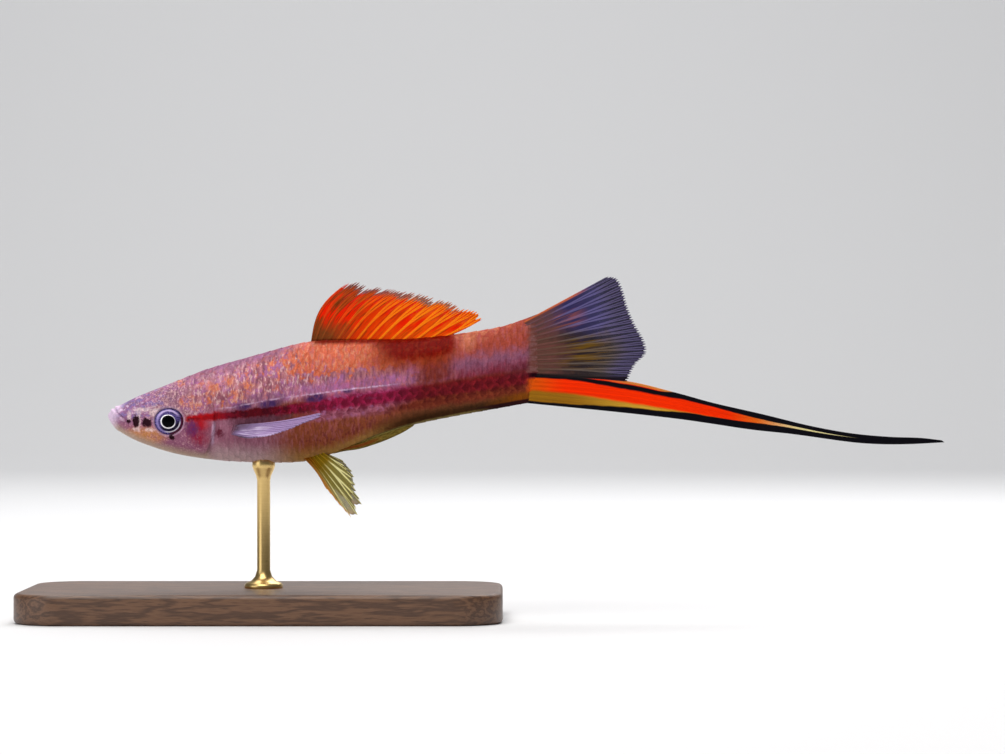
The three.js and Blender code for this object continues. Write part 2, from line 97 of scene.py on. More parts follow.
# Body form
bodyForm = {
    "fleshEnd": 70.4,
    "skinEnd": 72.2,  # the skin thins out over the roots of the tail fin
    "noseRound": 1.6,
    "back": [
        (0, 0.8), (1.3, 1.25), (2.8, 2.0), (5.3, 3.2), (10.8, 5.35), (16.4, 7.55), (24.7, 9.95),
        (33.6, 12.2), (42, 12.5), (50, 12.65), (56.8, 13.3), (61.8, 14.0), (66.4, 14.9), (70.4, 16.3),
        (72.2, 17.0),
    ],
    "belly": [
        (0, -1.4), (1.4, -2.5), (3.6, -3.85), (6.1, -4.95), (10.8, -6.45), (16.4, -7.45), (21.9, -7.9),
        (27.5, -8.05), (32.7, -7.85), (36.8, -6.8), (40.4, -5.5), (45, -3.6), (51, -1.75), (59.7, 0.05),
        (65, 0.95), (70.4, 1.9), (72.2, 1.96),
    ],
    "halfWidth": [
        (0, 1.4), (1.4, 2.15), (3.6, 2.8), (6, 3.25), (10.8, 4.05), (16.4, 4.7), (23, 5.0), (30, 4.85),
        (38, 4.25), (46, 3.45), (54, 2.65), (62, 1.85), (67, 1.2), (70.4, 0.72), (72.2, 0.12),
    ],
    "widest": [(0, -0.2), (5, -0.7), (16, -0.3), (30, 1.8), (45, 4.4), (60, 7.2), (70.4, 9), (72.2, 9.3)],
    "squareness": [(0, 2.3), (8, 2.6), (16, 2.3), (30, 2.1), (70.4, 2.0), (72.2, 2.0)],
    "stripe": [(10, -0.9), (23.7, 0.25), (40, 2.3), (55.5, 4.2), (70, 6.2)],  # height of the red side stripe
    "skinSink": 0.04,  # the skin lies this far under the solid's surface
    "sinkFrom": 2.0,
}
sectionKeys = ("widest", "back", "belly", "halfWidth", "squareness")
bodyLines = {key: through(bodyForm[key]) for key in (*sectionKeys, "stripe")}
tableStep = 0.1


def rawSection(s):
    inside = clamp(s, 0, bodyForm["skinEnd"])
    return [bodyLines[key](inside) for key in sectionKeys]


sectionTable = [rawSection(i * tableStep) for i in range(int(bodyForm["skinEnd"] / tableStep) + 2)]


def sectionAt(s, grow=0.0):
    spot = clamp(s / tableStep, 0, len(sectionTable) - 1.001)
    low = int(spot)
    share = spot - low
    pairs = zip(sectionTable[low], sectionTable[low + 1])
    middle, back, belly, half, power = [a + (b - a) * share for a, b in pairs]
    run = (s + grow) / (bodyForm["noseRound"] + grow)
    close = math.sqrt(max(1 - (1 - run) ** 2, 0)) if run < 1 else 1.0
    up, down = (back + grow - middle) * close, (middle - belly + grow) * close
    return middle, up, down, (half + grow) * close, power


def skinPoint(s, turn, grow=0.0):
    middle, up, down, half, power = sectionAt(s, grow)
    across, upright = math.cos(turn), math.sin(turn)
    y = math.copysign(abs(across) ** (2 / power), across) * half
    h = math.copysign(abs(upright) ** (2 / power), upright) * (up if upright > 0 else down)
    return Vector((s, y, middle + h))


def sideAt(s, h, grow=0.0):
    middle, up, down, half, power = sectionAt(s, grow)
    share = min(abs(h - middle) / (up if h > middle else down), 1)
    return half * (1 - share**power) ** (1 / power)


def underAt(s, y):
    middle, up, down, half, power = sectionAt(s)
    share = min(abs(y) / half, 1)
    return middle - down * (1 - share**power) ** (1 / power)


# A mesh linked into the scene, with its corners moved from millimetres to where they stand
def linkMesh(name, bm, material, place=toWorld, shade=True):
    for vert in bm.verts:
        vert.co = place(vert.co)
    bmesh.ops.recalc_face_normals(bm, faces=bm.faces[:])
    mesh = bpy.data.meshes.new(name)
    bm.to_mesh(mesh)
    bm.free()
    if shade:
        mesh.shade_smooth()
    mesh.materials.append(material)
    made = bpy.data.objects.new(name, mesh)
    bpy.context.collection.objects.link(made)
    return made


def finishPiece(piece, slotName, *nodes):
    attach(piece, "root")
    if nodes:
        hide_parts(*nodes)
    print(piece.name, "ready with", len(piece.data.polygons), "faces")


# A socket that takes part in Python sums
class Wire:
    def __init__(self, paint, socket):
        self.paint, self.socket = paint, socket


for sign, operation in (("add", "ADD"), ("sub", "SUBTRACT"), ("mul", "MULTIPLY"), ("truediv", "DIVIDE")):
    setattr(Wire, f"__{sign}__", lambda a, b, kind=operation: a.paint.math(kind, a, b))
    setattr(Wire, f"__r{sign}__", lambda a, b, kind=operation: a.paint.math(kind, b, a))


class Paint:
    def __init__(self, name, **shine):
        self.material = bpy.data.materials.new(name)
        self.material.use_nodes = True
        self.tree = self.material.node_tree
        self.shader = self.tree.nodes["Principled BSDF"]
        self.drive(**shine)

    def drive(self, **sockets):
        for socket, value in sockets.items():
            self.feed(self.shader.inputs[socket.replace("_", " ")], value)
        return self.material

    # A value is a wire, a number, a colour or the name of a skin colour
    def feed(self, socket, value):
        if isinstance(value, Wire):
            self.tree.links.new(value.socket, socket)
            return
        if isinstance(value, str):
            value = skinColours[value]
        socket.default_value = (*value, 1.0) if socket.type == "RGBA" else value

    def node(self, kind, settings, inputs, output=0):
        made = self.tree.nodes.new(kind)
        for key, value in settings.items():
            setattr(made, key, value)
        for key, value in inputs.items():
            self.feed(made.inputs[key], value)
        return Wire(self, made.outputs[output])

    def math(self, operation, *values):
        return self.node("ShaderNodeMath", {"operation": operation}, dict(enumerate(values)))

    def attribute(self, name, output="Fac"):
        return self.node("ShaderNodeAttribute", {"attribute_name": name}, {}, output)

    def millimetres(self):
        place = self.node("ShaderNodeTexCoord", {}, {}, "Object")
        return self.node("ShaderNodeVectorMath", {"operation": "SCALE"}, {0: place, "Scale": 1000.0})

    def split(self, vector):
        made = self.node("ShaderNodeSeparateXYZ", {}, {0: vector})
        return [Wire(self, output) for output in made.socket.node.outputs]

    def spread(self, name):
        return self.split(self.attribute(name, "Vector"))

    def join(self, x, y, z):
        return self.node("ShaderNodeCombineXYZ", {}, {0: x, 1: y, 2: z})

    def step(self, value, low, high):
        settings = {"interpolation_type": "SMOOTHSTEP"}
        return self.node("ShaderNodeMapRange", settings, {"Value": value, "From Min": low, "From Max": high})

    def fall(self, value, low, high):
        return 1 - self.step(value, low, high)

    def band(self, value, low, high, soft):
        return self.step(value, low - soft, low + soft) * self.fall(value, high - soft, high + soft)

    def noise(self, vector, scale, detail=2.0, rough=0.5):
        inputs = {"Vector": vector, "Scale": scale, "Detail": detail, "Roughness": rough}
        return self.node("ShaderNodeTexNoise", {}, inputs)

    def blend(self, share, low, high, kind="MIX"):
        settings = {"data_type": "RGBA", "blend_type": kind}
        return self.node("ShaderNodeMix", settings, {0: share, 6: low, 7: high}, 2)

    # Coats of colour over a first one, each with its share
    def lay(self, colour, *coats):
        for share, tone in coats:
            colour = self.blend(share, colour, tone)
        return colour

    def blob(self, x, y, centre, radii, soft=0.98):
        dx = (x - centre[0]) / radii[0]
        dy = (y - centre[1]) / radii[1]
        return self.fall(dx * dx + dy * dy, 1 - soft, 1 + soft)

    def shaded(self, colour, amount):
        return self.blend(1.0, colour, self.join(amount, amount, amount), "MULTIPLY")

    def bump(self, height, microns, strength):
        inputs = {"Strength": strength, "Distance": microns * 1e-6, "Height": height}
        return self.node("ShaderNodeBump", {}, inputs)


# Skin colours, linear
skinColours = {
    "bellySilver": (0.56, 0.4, 0.42),
    "bellyTan": (0.37, 0.2, 0.055),
    "roseFlank": (0.3, 0.105, 0.16),
    "rosePale": (0.44, 0.23, 0.31),
    "oliveFlank": (0.25, 0.06, 0.024),
    "lowTail": (0.12, 0.038, 0.014),
    "lowDark": (0.035, 0.014, 0.004),
    "stripeRed": (0.4, 0.005, 0.008),
    "stripeDeep": (0.16, 0.005, 0.016),
    "stripeDark": (0.05, 0.003, 0.009),
    "stripeBrown": (0.07, 0.003, 0.006),
    # painted shadow on the flank above the pectoral fin
    "shadowAboveFin": (0.07, 0.02, 0.035),
    "crimson": (0.31, 0.012, 0.06),
    "magenta": (0.44, 0.07, 0.2),
    "maroon": (0.1, 0.004, 0.018),
    "tailCrimson": (0.19, 0.01, 0.014),
    "tailMaroon": (0.07, 0.003, 0.005),
    "tailBrown": (0.19, 0.032, 0.014),
    "rose": (0.4, 0.12, 0.18),
    "whiteLine": (0.72, 0.5, 0.72),
    "violetMark": (0.05, 0.02, 0.09),
    "lilac": (0.38, 0.14, 0.32),
    "duskLilac": (0.19, 0.08, 0.18),
    "napeLilac": (0.52, 0.27, 0.38),
    "mauve": (0.28, 0.09, 0.13),
    "upperFlank": (0.42, 0.16, 0.18),
    "cream": (0.72, 0.44, 0.44),
    "backEdge": (0.25, 0.1, 0.19),
    "orange": (0.62, 0.12, 0.045),
    "amber": (0.68, 0.26, 0.13),
    "darkPatch": (0.17, 0.003, 0.0005),
    "underPatch": (0.27, 0.035, 0.01),
    "darkColumn": (0.16, 0.017, 0.008),
    "tailTop": (0.38, 0.065, 0.04),
    "tailRose": (0.2, 0.025, 0.045),
    "tailShade": (0.06, 0.012, 0.02),
    "tailLilac": (0.24, 0.09, 0.16),
    "bellyEdge": (0.2, 0.15, 0.05),
    "swordOrange": (0.66, 0.085, 0.003),
    "swordRoot": (0.2, 0.052, 0.002),
    "finRoot": (0.16, 0.055, 0.045),
    "finRay": (0.2, 0.085, 0.08),
    "snout": (0.25, 0.135, 0.25),
    "forehead": (0.28, 0.12, 0.18),
    "blueVeil": (0.2, 0.16, 0.4),
    "browLine": (0.78, 0.58, 0.58),
    "jawCream": (0.52, 0.38, 0.3),
    "cheekGold": (0.62, 0.26, 0.08),
    "cheekRose": (0.31, 0.11, 0.19),
    "gillRed": (0.27, 0.008, 0.03),
    "gillViolet": (0.1, 0.02, 0.11),
    "lip": (0.8, 0.62, 0.8),
    "headSpot": (0.014, 0.001, 0.004),
    "eyeRing": (0.5, 0.34, 0.46),
}
# Centres and radii on the head and flank, in millimetres
headSpots = [
    ((3.7, -1.1), (0.36, 0.34)),
    ((4.95, -1.1), (0.58, 1.0)),
    ((6.8, -1.3), (0.86, 0.82)),
    ((11.0, -3.75), (0.5, 0.5)),
]
paleStreaks = [
    ((5.45, -1.1), (0.3, 1.5)), ((3.75, -0.1), (0.35, 0.7)), ((8.2, 0.35), (0.9, 0.55)),
    ((6.0, 0.85), (1.5, 0.22)), ((7.2, -2.5), (0.8, 0.32)), ((4.9, -2.4), (0.6, 0.3)),
]
orangeSpots = [
    ((12.3, 5.2), (0.7, 0.6)),
    ((13.4, 2.2), (1.1, 1.0)),
    ((15.3, 1.3), (1.0, 0.7)),
    ((17.9, 4.6), (1.4, 0.8)),
    ((20.4, 5.6), (1.0, 0.9)),
    ((21.4, 3.2), (0.8, 1.0)),
    ((23.6, 4.6), (1.1, 0.9)),
]
violetMarks = [
    ((22.8, 1.2), (1.4, 0.55)),
    ((27.4, 1.2), (1.9, 0.62)),
    ((34.8, 1.2), (1.8, 0.65)),
    ((40.2, 1.6), (0.8, 0.4)),
]


# What the markings of skin and scales read: the place on the fish, in millimetres, and shared noises
def skinMarks(p, onScales):
    s, h, fromBack = p.spread("markPlace")
    above = p.attribute("aboveStripe")
    place = p.millimetres()
    x, y, z = p.split(place)
    wander = (p.noise(place, 0.9, 3.0, 0.6) - 0.5) * 2
    jag = (p.noise(place, 1.9, 3.0, 0.6) - 0.5) * 2
    streak = p.noise(p.join(x * 2.1, y * 0.5, z * 0.55), 1.0, 2.5, 0.6)
    fleck = p.noise(p.join(x * 2.6, y * 0.9, z * 1.1 + 9.0), 1.0, 2.0, 0.6)
    rear = p.step(s + wander * 2 + p.step(above, -1.0, -2.2) * 4.0, 46, 54)
    marks = {"p": p, "s": s, "h": h, "fromBack": fromBack, "above": above, "place": place}
    marks.update({"wander": wander, "jag": jag, "streak": streak, "fleck": fleck, "rear": rear})
    marks["fromBelly"] = p.attribute("fromBelly")
    marks["fine"] = p.noise(place, 3.4, 3.0, 0.65)
    marks["mottle"] = p.noise(p.join(x, y + 60.0, z * 1.3), 1.1, 2.5, 0.55)
    marks["blotch"] = p.noise(p.join(x, y + 20.0, z * 0.75), 1.0, 2.5, 0.6)
    marks["patchy"] = p.noise(p.join(x, y + 40.0, z), 0.45, 3.0, 0.65)
    marks["rootRays"] = p.noise(p.join(x * 0.35, y, z * 2.6), 1.0)
    marks["deepTone"] = p.blend(rear, "maroon", "tailMaroon")
    marks["orangeTone"] = p.lay(
        "orange",
        (p.step(fleck, 0.46, 0.64) * 0.6 + 0.3 * p.fall(s, 24, 34), "amber"),
        (p.step(streak, 0.5, 0.66) * 0.45, "mauve"),
    )
    if onScales:
        along, across, chance = p.spread("plate")
        heart = (along - 0.3) / 0.62
        oval = heart * heart + across * across * 3.4
        marks["lozenge"] = p.fall(oval + jag * 1.3 + chance * 0.6, 0.3, 1.9)
        light = 0.9 + 0.14 * chance + 0.14 * p.step(along, 0.1, 0.85)
        marks["plateShade"] = light - 0.2 * p.step(p.attribute("rim"), 0.84, 0.98)
    else:
        marks["lozenge"] = p.step(fleck, 0.42, 0.6)
        marks["plateShade"] = 1.0
    return marks


# Rosy in front, olive behind, over a pale belly that darkens along the tail
def lowerFlank(p, s, fromBelly, wander, streak, fleck, **others):
    low = p.lay(
        "roseFlank",
        (p.step(s + wander * 2, 25, 32), "oliveFlank"),
        (
            p.step(streak, 0.46, 0.64) * (0.25 - 0.17 * p.step(s, 41, 47)),
            p.blend(p.step(s, 26, 34), "rosePale", "rose"),
        ),
        (p.step(fleck, 0.5, 0.66) * 0.5 * p.step(s, 28, 36), "maroon"),
    )
    bellyDepth = 3.9 - 1.6 * p.step(s, 27, 40)
    return p.lay(
        p.blend(p.step(s, 24, 33), "bellySilver", "bellyTan"),
        (p.step(fromBelly + wander * 0.7, 0.0, bellyDepth), low),
        (p.step(s + wander, 41, 50) * p.fall(fromBelly + wander * 0.5, 1.6, 3.4), "lowTail"),
        (p.step(s + wander, 44, 51) * p.fall(fromBelly + wander * 0.3, 0.9, 1.9) * 0.9, "lowDark"),
    )


# Mauve with cream streaks, lilac clouds and orange flecks that join up further back
def upperFlank(
    colour, p, s, fromBack, above, wander, mottle, streak, fleck, blotch, patchy, orangeTone, **others
):
    napeShare = p.band(s, 12, 32, 3) * p.band(above, 2.6, 7.6, 0.9) * 0.035
    backShare = p.step(above + wander * 1.1, 4.0, 6.4) * p.step(s + wander * 3 - fromBack * 0.5, 24, 35)
    upper = p.lay(
        "mauve",
        (p.step(streak, 0.4, 0.62), "upperFlank"),
        (p.step(patchy, 0.46, 0.62) * 0.75, "lilac"),
        (p.step(fleck, 0.5, 0.66) * 0.75 * p.fall(s, 30, 46), "cream"),
        (p.step(blotch + napeShare + backShare * 0.34 * p.fall(s, 54, 60), 0.54, 0.72) * 0.9, orangeTone),
    )
    # painted highlight in amber patches along the top of the tail stalk
    topHighlight = p.step(above + wander, 6.6, 9.0) * p.step(mottle, 0.42, 0.62) * (1 - 0.7 * p.step(s, 63, 67))
    tail = p.lay(
        "tailRose",
        (
            p.step(above + wander * 1.4, 1.6, 4.4),
            p.blend(p.step(above + wander * 1.6, 3.4, 6.4), "tailLilac", "tailTop"),
        ),
        (p.step(streak, 0.45, 0.65) * 0.35, "mauve"),
        (p.step(mottle, 0.5, 0.64) * 0.4 * p.step(above, 3.0, 6.0), "tailTop"),
        (topHighlight * 0.5, "amber"),
    )
    lilacBand = p.band(above + wander * 0.7, 1.6, 3.4, 0.8) * p.step(s, 25, 36) * p.fall(s + wander, 46, 55)
    veil = p.band(above + wander * 0.5, 1.3, 3.0, 0.5) * p.band(s + wander, 23, 30, 2.0)
    nape = p.band(s + wander * 2, 12, 22, 2.5) * p.step(above + wander * 0.7, 3.2, 5.2)
    return p.lay(
        colour,
        (p.step(above + wander * 0.3, 0.6, 1.8), p.blend(p.step(s + wander, 53, 60), upper, tail)),
        (
            lilacBand * (0.4 + 0.4 * p.step(fleck, 0.42, 0.6)),
            p.blend(p.step(streak, 0.45, 0.6) * 0.5, "lilac", "magenta"),
        ),
        (veil * 0.55, "duskLilac"),
        (nape * p.step(mottle, 0.4, 0.6) * 0.45, "napeLilac"),
        (p.fall(fromBack + wander * 0.5, 0.2, 2.2) * p.fall(s, 28, 35) * 0.75, "backEdge"),
    )


def headColours(
    colour, p, s, h, fromBelly, wander, jag, fine, mottle, streak, fleck, patchy, orangeTone, **others
):
    cheek = p.lay(
        "cheekRose",
        (p.blob(s + jag * 0.8, h + wander * 0.5, (6.2, -3.6), (3.4, 1.5), 0.95) * 0.9, "cheekGold"),
        (p.step(mottle, 0.52, 0.64) * 0.4, "cheekRose"),
        (p.step(fine, 0.5, 0.66) * 0.4, "cream"),
        (p.fall(fromBelly + wander * 0.3, 0.2, 1.8), "jawCream"),
    )
    gill = p.blob(s + wander * 0.9, h + jag * 0.7, (15.9, -2.6), (2.2, 2.4))
    violet = p.blob(s + wander * 1.2, h + jag * 0.9, (14.5, -2.2), (1.2, 1.3))
    head = p.lay(
        "snout",
        (p.step(s + wander * 0.7, 3, 9), "forehead"),
        (p.step(patchy, 0.44, 0.6) * 0.6, "lilac"),
        (p.step(mottle, 0.5, 0.6) * 0.7 * p.fall(s, 8, 12), "blueVeil"),
        (p.step(fine, 0.48, 0.64) * 0.5 * p.step(s, 2, 7), "cream"),
        (p.step(fleck, 0.5, 0.64) * 0.6 * p.step(s, 6, 12), "cream"),
        (p.fall(mottle, 0.38, 0.46) * 0.65 * p.fall(s, 4, 9), "lip"),
        (p.step(h + s * 0.02 + wander * 0.5, 0.3, -1.8), cheek),
        (gill * (0.65 + 0.35 * p.step(streak, 0.4, 0.6)), "gillRed"),
        (violet * (0.5 + 0.4 * p.step(fine, 0.42, 0.56)), "gillViolet"),
        (p.blob(s + jag * 0.6, h + jag * 0.4, (16.3, -1.1), (1.2, 1.3)) * 0.85, "stripeRed"),
    )
    for rise in (0.15, 0.75):
        brow = p.band(h - s * 0.15 + rise * 0.2 + wander * 0.3, rise - 0.6, rise - 0.35, 0.2)
        browShare = brow * p.band(s, 4.2, 9.2, 0.8) * 0.6 * p.step(mottle, 0.4, 0.52)
        head = p.blend(browShare, head, "browLine")
    for centre, radii in paleStreaks:
        pale = p.blob(s + jag * 0.5, h + wander * 0.4, centre, radii, 0.95)
        head = p.blend(pale * (0.45 + 0.4 * p.step(fine, 0.4, 0.56)), head, "browLine")
    coverLine = p.band(s - h * 0.1 + jag * 0.2, 18.0, 18.4, 0.2) * p.band(h, -5.0, -1.4, 0.6)
    colour = p.lay(
        colour,
        (p.fall(s + p.step(h, -1, 5) * 4.0 + wander * 0.8, 15.6, 19.0), head),
        (coverLine * 0.6, "whiteLine"),
    )
    for centre, radii in orangeSpots:
        spot = p.blob(s + jag * 0.9, h + wander * 0.7, centre, radii)
        colour = p.blend(spot * 0.8 * p.step(mottle + fleck, 0.8, 1.1), colour, orangeTone)
    return colour


# Under the stripe: dark lozenges with rose between, browner towards the tail
def crimsonRows(colour, p, s, above, wander, mottle, lozenge, rear, deepTone, **others):
    height = above + wander * 0.4
    rows = p.lay(
        "rose",
        (p.step(height, -2.0, -0.6), "crimson"),
        (p.step(height, 0.4, 1.2), "magenta"),
        (rear, p.blend(p.step(height, -1.6, -0.2), "tailBrown", "tailCrimson")),
        (p.fall(mottle, 0.36, 0.5) * 0.5, deepTone),
        (lozenge * (0.8 - 0.4 * p.fall(above, -2.2, -1.0) - 0.4 * p.step(above, 0.1, 0.9)), deepTone),
        (p.step(mottle, 0.54, 0.66) * 0.5 * p.fall(s, 42, 50), "lilac"),
    )
    return p.blend(p.band(above + wander * 0.5, -2.7, 1.3, 0.6) * p.step(s + wander, 30, 37), colour, rows)


# Ragged, thin and bright behind the eye, deeper along the flank
def sideStripe(colour, p, s, above, wander, jag, mottle, fleck, lozenge, rear, deepTone, **others):
    middle = -0.2 * p.step(s, 26, 31)
    halfHeight = 0.47 + 0.24 * p.step(s, 15, 19) + 0.12 * p.step(s, 21, 25)
    away = p.math("ABSOLUTE", above - middle + wander * 0.3 + jag * 0.4)
    stripe = p.fall(away, halfHeight - 0.35, halfHeight + 0.35) * p.step(s + jag * 0.7, 12.7, 13.8)
    tone = p.lay(
        "stripeRed",
        (p.step(s + wander * 1.5, 17.5, 21), "stripeDeep"),
        (p.band(s + wander * 1.5, 22, 28, 1.5) * 0.75, "stripeBrown"),
        (p.step(fleck, 0.48, 0.62) * p.step(s, 26, 30) * 0.6, "crimson"),
        (p.step(mottle, 0.5, 0.6) * (0.7 - 0.4 * p.band(s, 15, 18.5, 0.8)), "stripeDark"),
        (
            p.step(s, 31, 38) * 0.8,
            p.blend(lozenge * 0.8, p.blend(rear, "crimson", "tailCrimson"), deepTone),
        ),
    )
    # Painted shadow on the flank under the stripe, above the pectoral fin
    shade = p.band(above + jag * 0.4, -1.9, -0.7, 0.35) * p.band(s + wander * 2, 21, 31, 2.0)
    return p.lay(colour, (shade * 0.8, "shadowAboveFin"), (stripe * (1 - 0.2 * p.step(s, 31, 38)), tone))


# A pale line and violet marks over the stripe
def paleLine(colour, p, s, above, wander, jag, mottle, streak, fleck, **others):
    for centre, radii in violetMarks:
        mark = p.blob(s + wander * 0.8, above + jag * 0.4, centre, radii, 0.9)
        colour = p.blend(mark * (0.65 + 0.33 * p.step(streak, 0.42, 0.56)), colour, "violetMark")
    height = above + 0.55 * p.fall(s, 20, 28) - 0.1 * p.step(s, 24, 32) + 0.1 * p.step(s, 40, 47)
    height = height + wander * 0.2
    line = p.band(height, 1.68, 1.88, 0.14) * p.step(s, 17, 21) * p.fall(s, 45, 50)
    rearShare = 0.45 * p.step(s + wander * 2, 30, 36) * p.step(fleck, 0.42, 0.56)
    return p.blend(line * (0.08 + 0.4 * p.step(mottle, 0.42, 0.58) + rearShare), colour, "whiteLine")


# A dark back under the dorsal fin, with a rounded rear end that darkens the flank below it
def backPatch(colour, p, s, fromBack, above, wander, jag, mottle, **others):
    shadow = p.band(s + wander * 1.5, 51.5, 57.2, 2.2) * p.band(above + wander * 0.6, 1.2, 7.0, 1.0)
    roundEnd = s + (fromBack - 1.4) * (fromBack - 1.4) * 0.22 + wander * 0.4
    patch = p.fall(fromBack + wander * 0.9, 2.7, 4.2) * p.step(s + wander - fromBack * 0.9, 42, 46.5)
    finFoot = p.fall(fromBack + wander * 0.2, 0.3, 1.0) * p.band(s, 34.5, 56.5, 1.0)
    darkTone = p.blend(p.step(mottle, 0.48, 0.64) * 0.3, "darkPatch", "underPatch")
    return p.lay(
        colour,
        (shadow * 0.88, "darkColumn"),
        (p.fall(fromBack + wander, 3.6, 6.4) * p.band(s + wander, 44, 57.5, 2.5) * 0.85, "underPatch"),
        (p.math("MAXIMUM", patch * p.fall(roundEnd, 57.2, 58.6), finFoot * 0.9), darkTone),
        (p.blob(s + jag * 0.5, fromBack + wander * 0.6, (60.3, 1.6), (1.3, 1.6)) * 0.3, "amber"),
        (p.step(s + wander, 64.5, 69) * p.band(above + wander * 0.3, 0.4, 2.4, 0.5) * 0.5, "tailShade"),
    )


# The sword's colours start here, over a black line, and a light edge runs ahead of them
def tailRoot(colour, p, s, fromBelly, wander, jag, rootRays, **others):
    finSide = p.step(s + jag * 0.5, 69.6, 71.0)
    rootTone = p.blend(p.step(rootRays, 0.42, 0.58), "finRoot", "finRay")
    return p.lay(
        colour,
        (p.fall(fromBelly + wander * 0.4, 1.4, 2.6) * p.step(s + wander, 62, 69) * 0.9, "swordRoot"),
        (finSide * p.step(fromBelly, 4.9, 5.3), rootTone),
        (finSide * p.band(fromBelly, 1.9, 4.1, 0.3), "swordOrange"),
        (finSide * p.band(fromBelly, 4.3, 5.0, 0.15), "headSpot"),
        (p.fall(fromBelly + wander * 0.1, 0.2, 0.5) * p.band(s, 42, 64, 2.0) * 0.8, "bellyEdge"),
        (p.fall(fromBelly, 0.6, 0.95) * p.step(s, 60, 65) * 0.95, "headSpot"),
    )


# Lips, eye rim and the dark spots before and behind the eye
def faceMarks(colour, p, s, h, wander, jag, fine, mottle, **others):
    colour = p.lay(
        colour,
        (p.fall(s - h * 0.3 + wander * 0.4, 0.8, 2.9) * 0.9, "lip"),
        (p.blob(s, h, eyeForm["centre"], (2.7, 2.5), 0.12) * 0.5, "eyeRing"),
    )
    for centre, radii in headSpots:
        spot = p.blob(s + jag * 0.45, h + jag * 0.35 + (fine - 0.5) * 1.2, centre, radii, 0.5)
        colour = p.blend(spot * 0.97, colour, "headSpot")
    fuzzy = p.blob(s + jag * 1.2, h + jag * 0.9, (18.9, -3.0), (0.8, 0.7)) * p.step(mottle + fine, 0.8, 1.05)
    return p.blend(fuzzy * 0.9, colour, "maroon")


def skinPaint(name, onScales):
    p = Paint(name, IOR=1.11, Coat_Weight=0.02, Coat_Roughness=0.12)
    marks = skinMarks(p, onScales)
    colour = lowerFlank(**marks)
    for coat in (upperFlank, headColours, crimsonRows, sideStripe, paleLine, backPatch, tailRoot, faceMarks):
        colour = coat(colour, **marks)
    fine, place = marks["fine"], marks["place"]
    streaks = (marks["streak"] - 0.5) * (0.2 + 0.45 * p.step(marks["fromBelly"], 1.0, 5.0))
    colour = p.shaded(colour, (0.64 + fine * 0.72 + streaks) * marks["plateShade"])
    flakes = p.node("ShaderNodeTexVoronoi", {}, {"Vector": place, "Scale": 4.2}, "Color")
    return p.drive(
        Base_Color=colour,
        Metallic=0.04 + 0.1 * p.step(flakes, 0.6, 0.9),
        Roughness=0.5 - 0.12 * fine,
        Normal=p.bump(fine * 0.5 + p.noise(place, 9.0) * 0.5, 30, 0.4),
    )


def layMarks(bm, spots):
    places = bm.verts.layers.float_vector.new("markPlace")
    bellies = bm.verts.layers.float.new("fromBelly")
    stripes = bm.verts.layers.float.new("aboveStripe")
    for vert in bm.verts:
        s, y, h = spots[vert.index]
        inside = clamp(s, 0, bodyForm["skinEnd"])
        vert[places] = (s, h, bodyLines["back"](inside) - h)
        vert[bellies] = h - bodyLines["belly"](inside)
        vert[stripes] = h - bodyLines["stripe"](inside)


# The skin, nose to tail root
skinMesh = {"around": 168, "headRings": 170, "headEnd": 20.0, "tailRings": 120, "crowding": 1.35}
eyeForm = {
    "centre": (10.5, -1.1),
    "radius": 2.48,
    "tall": 0.92,  # height as a share of the length
    "depth": 1.15,
    "bulge": 0.42,
    "yaw": 3,
    "pupil": 1.1,
    "ring": 1.31,
}
headForm = {
    "cleftFront": (1.0, 1.07),
    "cleftCorner": (3.2, -1.0),
    "socketRadius": 2.46,
    "nostrils": [(4.6, 1.0, 0.24), (6.2, 1.75, 0.3)],
    "gillCentre": (8.0, -1.0),
    "gillRadius": 10.15,
    "coverCentre": (18.25, -1.4),
    "coverRadii": (4.4, 5.1),
}


# How far each point of the head stands out from the plain body form
def headRelief(s, y, h):
    f = headForm
    front, corner = Vector(f["cleftFront"]), Vector(f["cleftCorner"])
    cleft = (corner - front).length
    along = (corner - front) / cleft
    offset = Vector((s, h)) - front
    across = offset.dot(Vector((-along.y, along.x)))
    mouth = 1 - smooth(offset.dot(along), cleft - 0.5, cleft + 0.1)
    lips = 0.17 * hump(across, 0.42, 0.25) + 0.17 * hump(across, -0.42, 0.25)
    lift = mouth * (lips - 0.3 * hump(across, 0, 0.1))

    fold = Vector((s, h)) - corner
    foldDown = fold.dot(Vector((0.5, -0.866)))
    foldAcross = fold.dot(Vector((0.866, 0.5)))
    lift -= 0.13 * hump(foldAcross, 0, 0.16) * smooth(foldDown, -0.3, 0.2) * (1 - smooth(foldDown, 1.0, 1.8))

    socket = f["socketRadius"]
    toEye = math.hypot(s - eyeForm["centre"][0], (h - eyeForm["centre"][1]) / eyeForm["tall"])
    lift += 0.13 * hump(toEye, socket + 0.3, 0.24) - 1.3 * (1 - smooth(toEye, socket - 0.26, socket + 0.04))
    for holeS, holeH, radius in f["nostrils"]:
        toHole = math.hypot(s - holeS, h - holeH)
        lift += 0.03 * hump(toHole, radius + 0.14, 0.14) - 0.35 * hump(toHole, 0, radius * 0.8)

    if s > f["gillCentre"][0]:
        toGill = math.hypot(s - f["gillCentre"][0], h - f["gillCentre"][1]) - f["gillRadius"]
        rim = 0.26 * smooth(toGill, -3.5, -0.3) * (1 - smooth(toGill, -0.12, 0.06))
        rim -= 0.28 * smooth(toGill, -0.05, 0.08) * (1 - smooth(toGill, 0.2, 1.1))
        (coverS, coverH), (radiusS, radiusH) = f["coverCentre"], f["coverRadii"]
        if s < coverS:
            toCover = (math.hypot((s - coverS) / radiusS, (h - coverH) / radiusH) - 1) * radiusS
            rim -= 0.1 * hump(toCover, 0, 0.2) + 0.05 * hump(toCover, 1.6, 0.25)
        lift += rim * smooth(h, -7.1, -6.2) * (1 - smooth(h, -0.6, 1.8))
    return lift


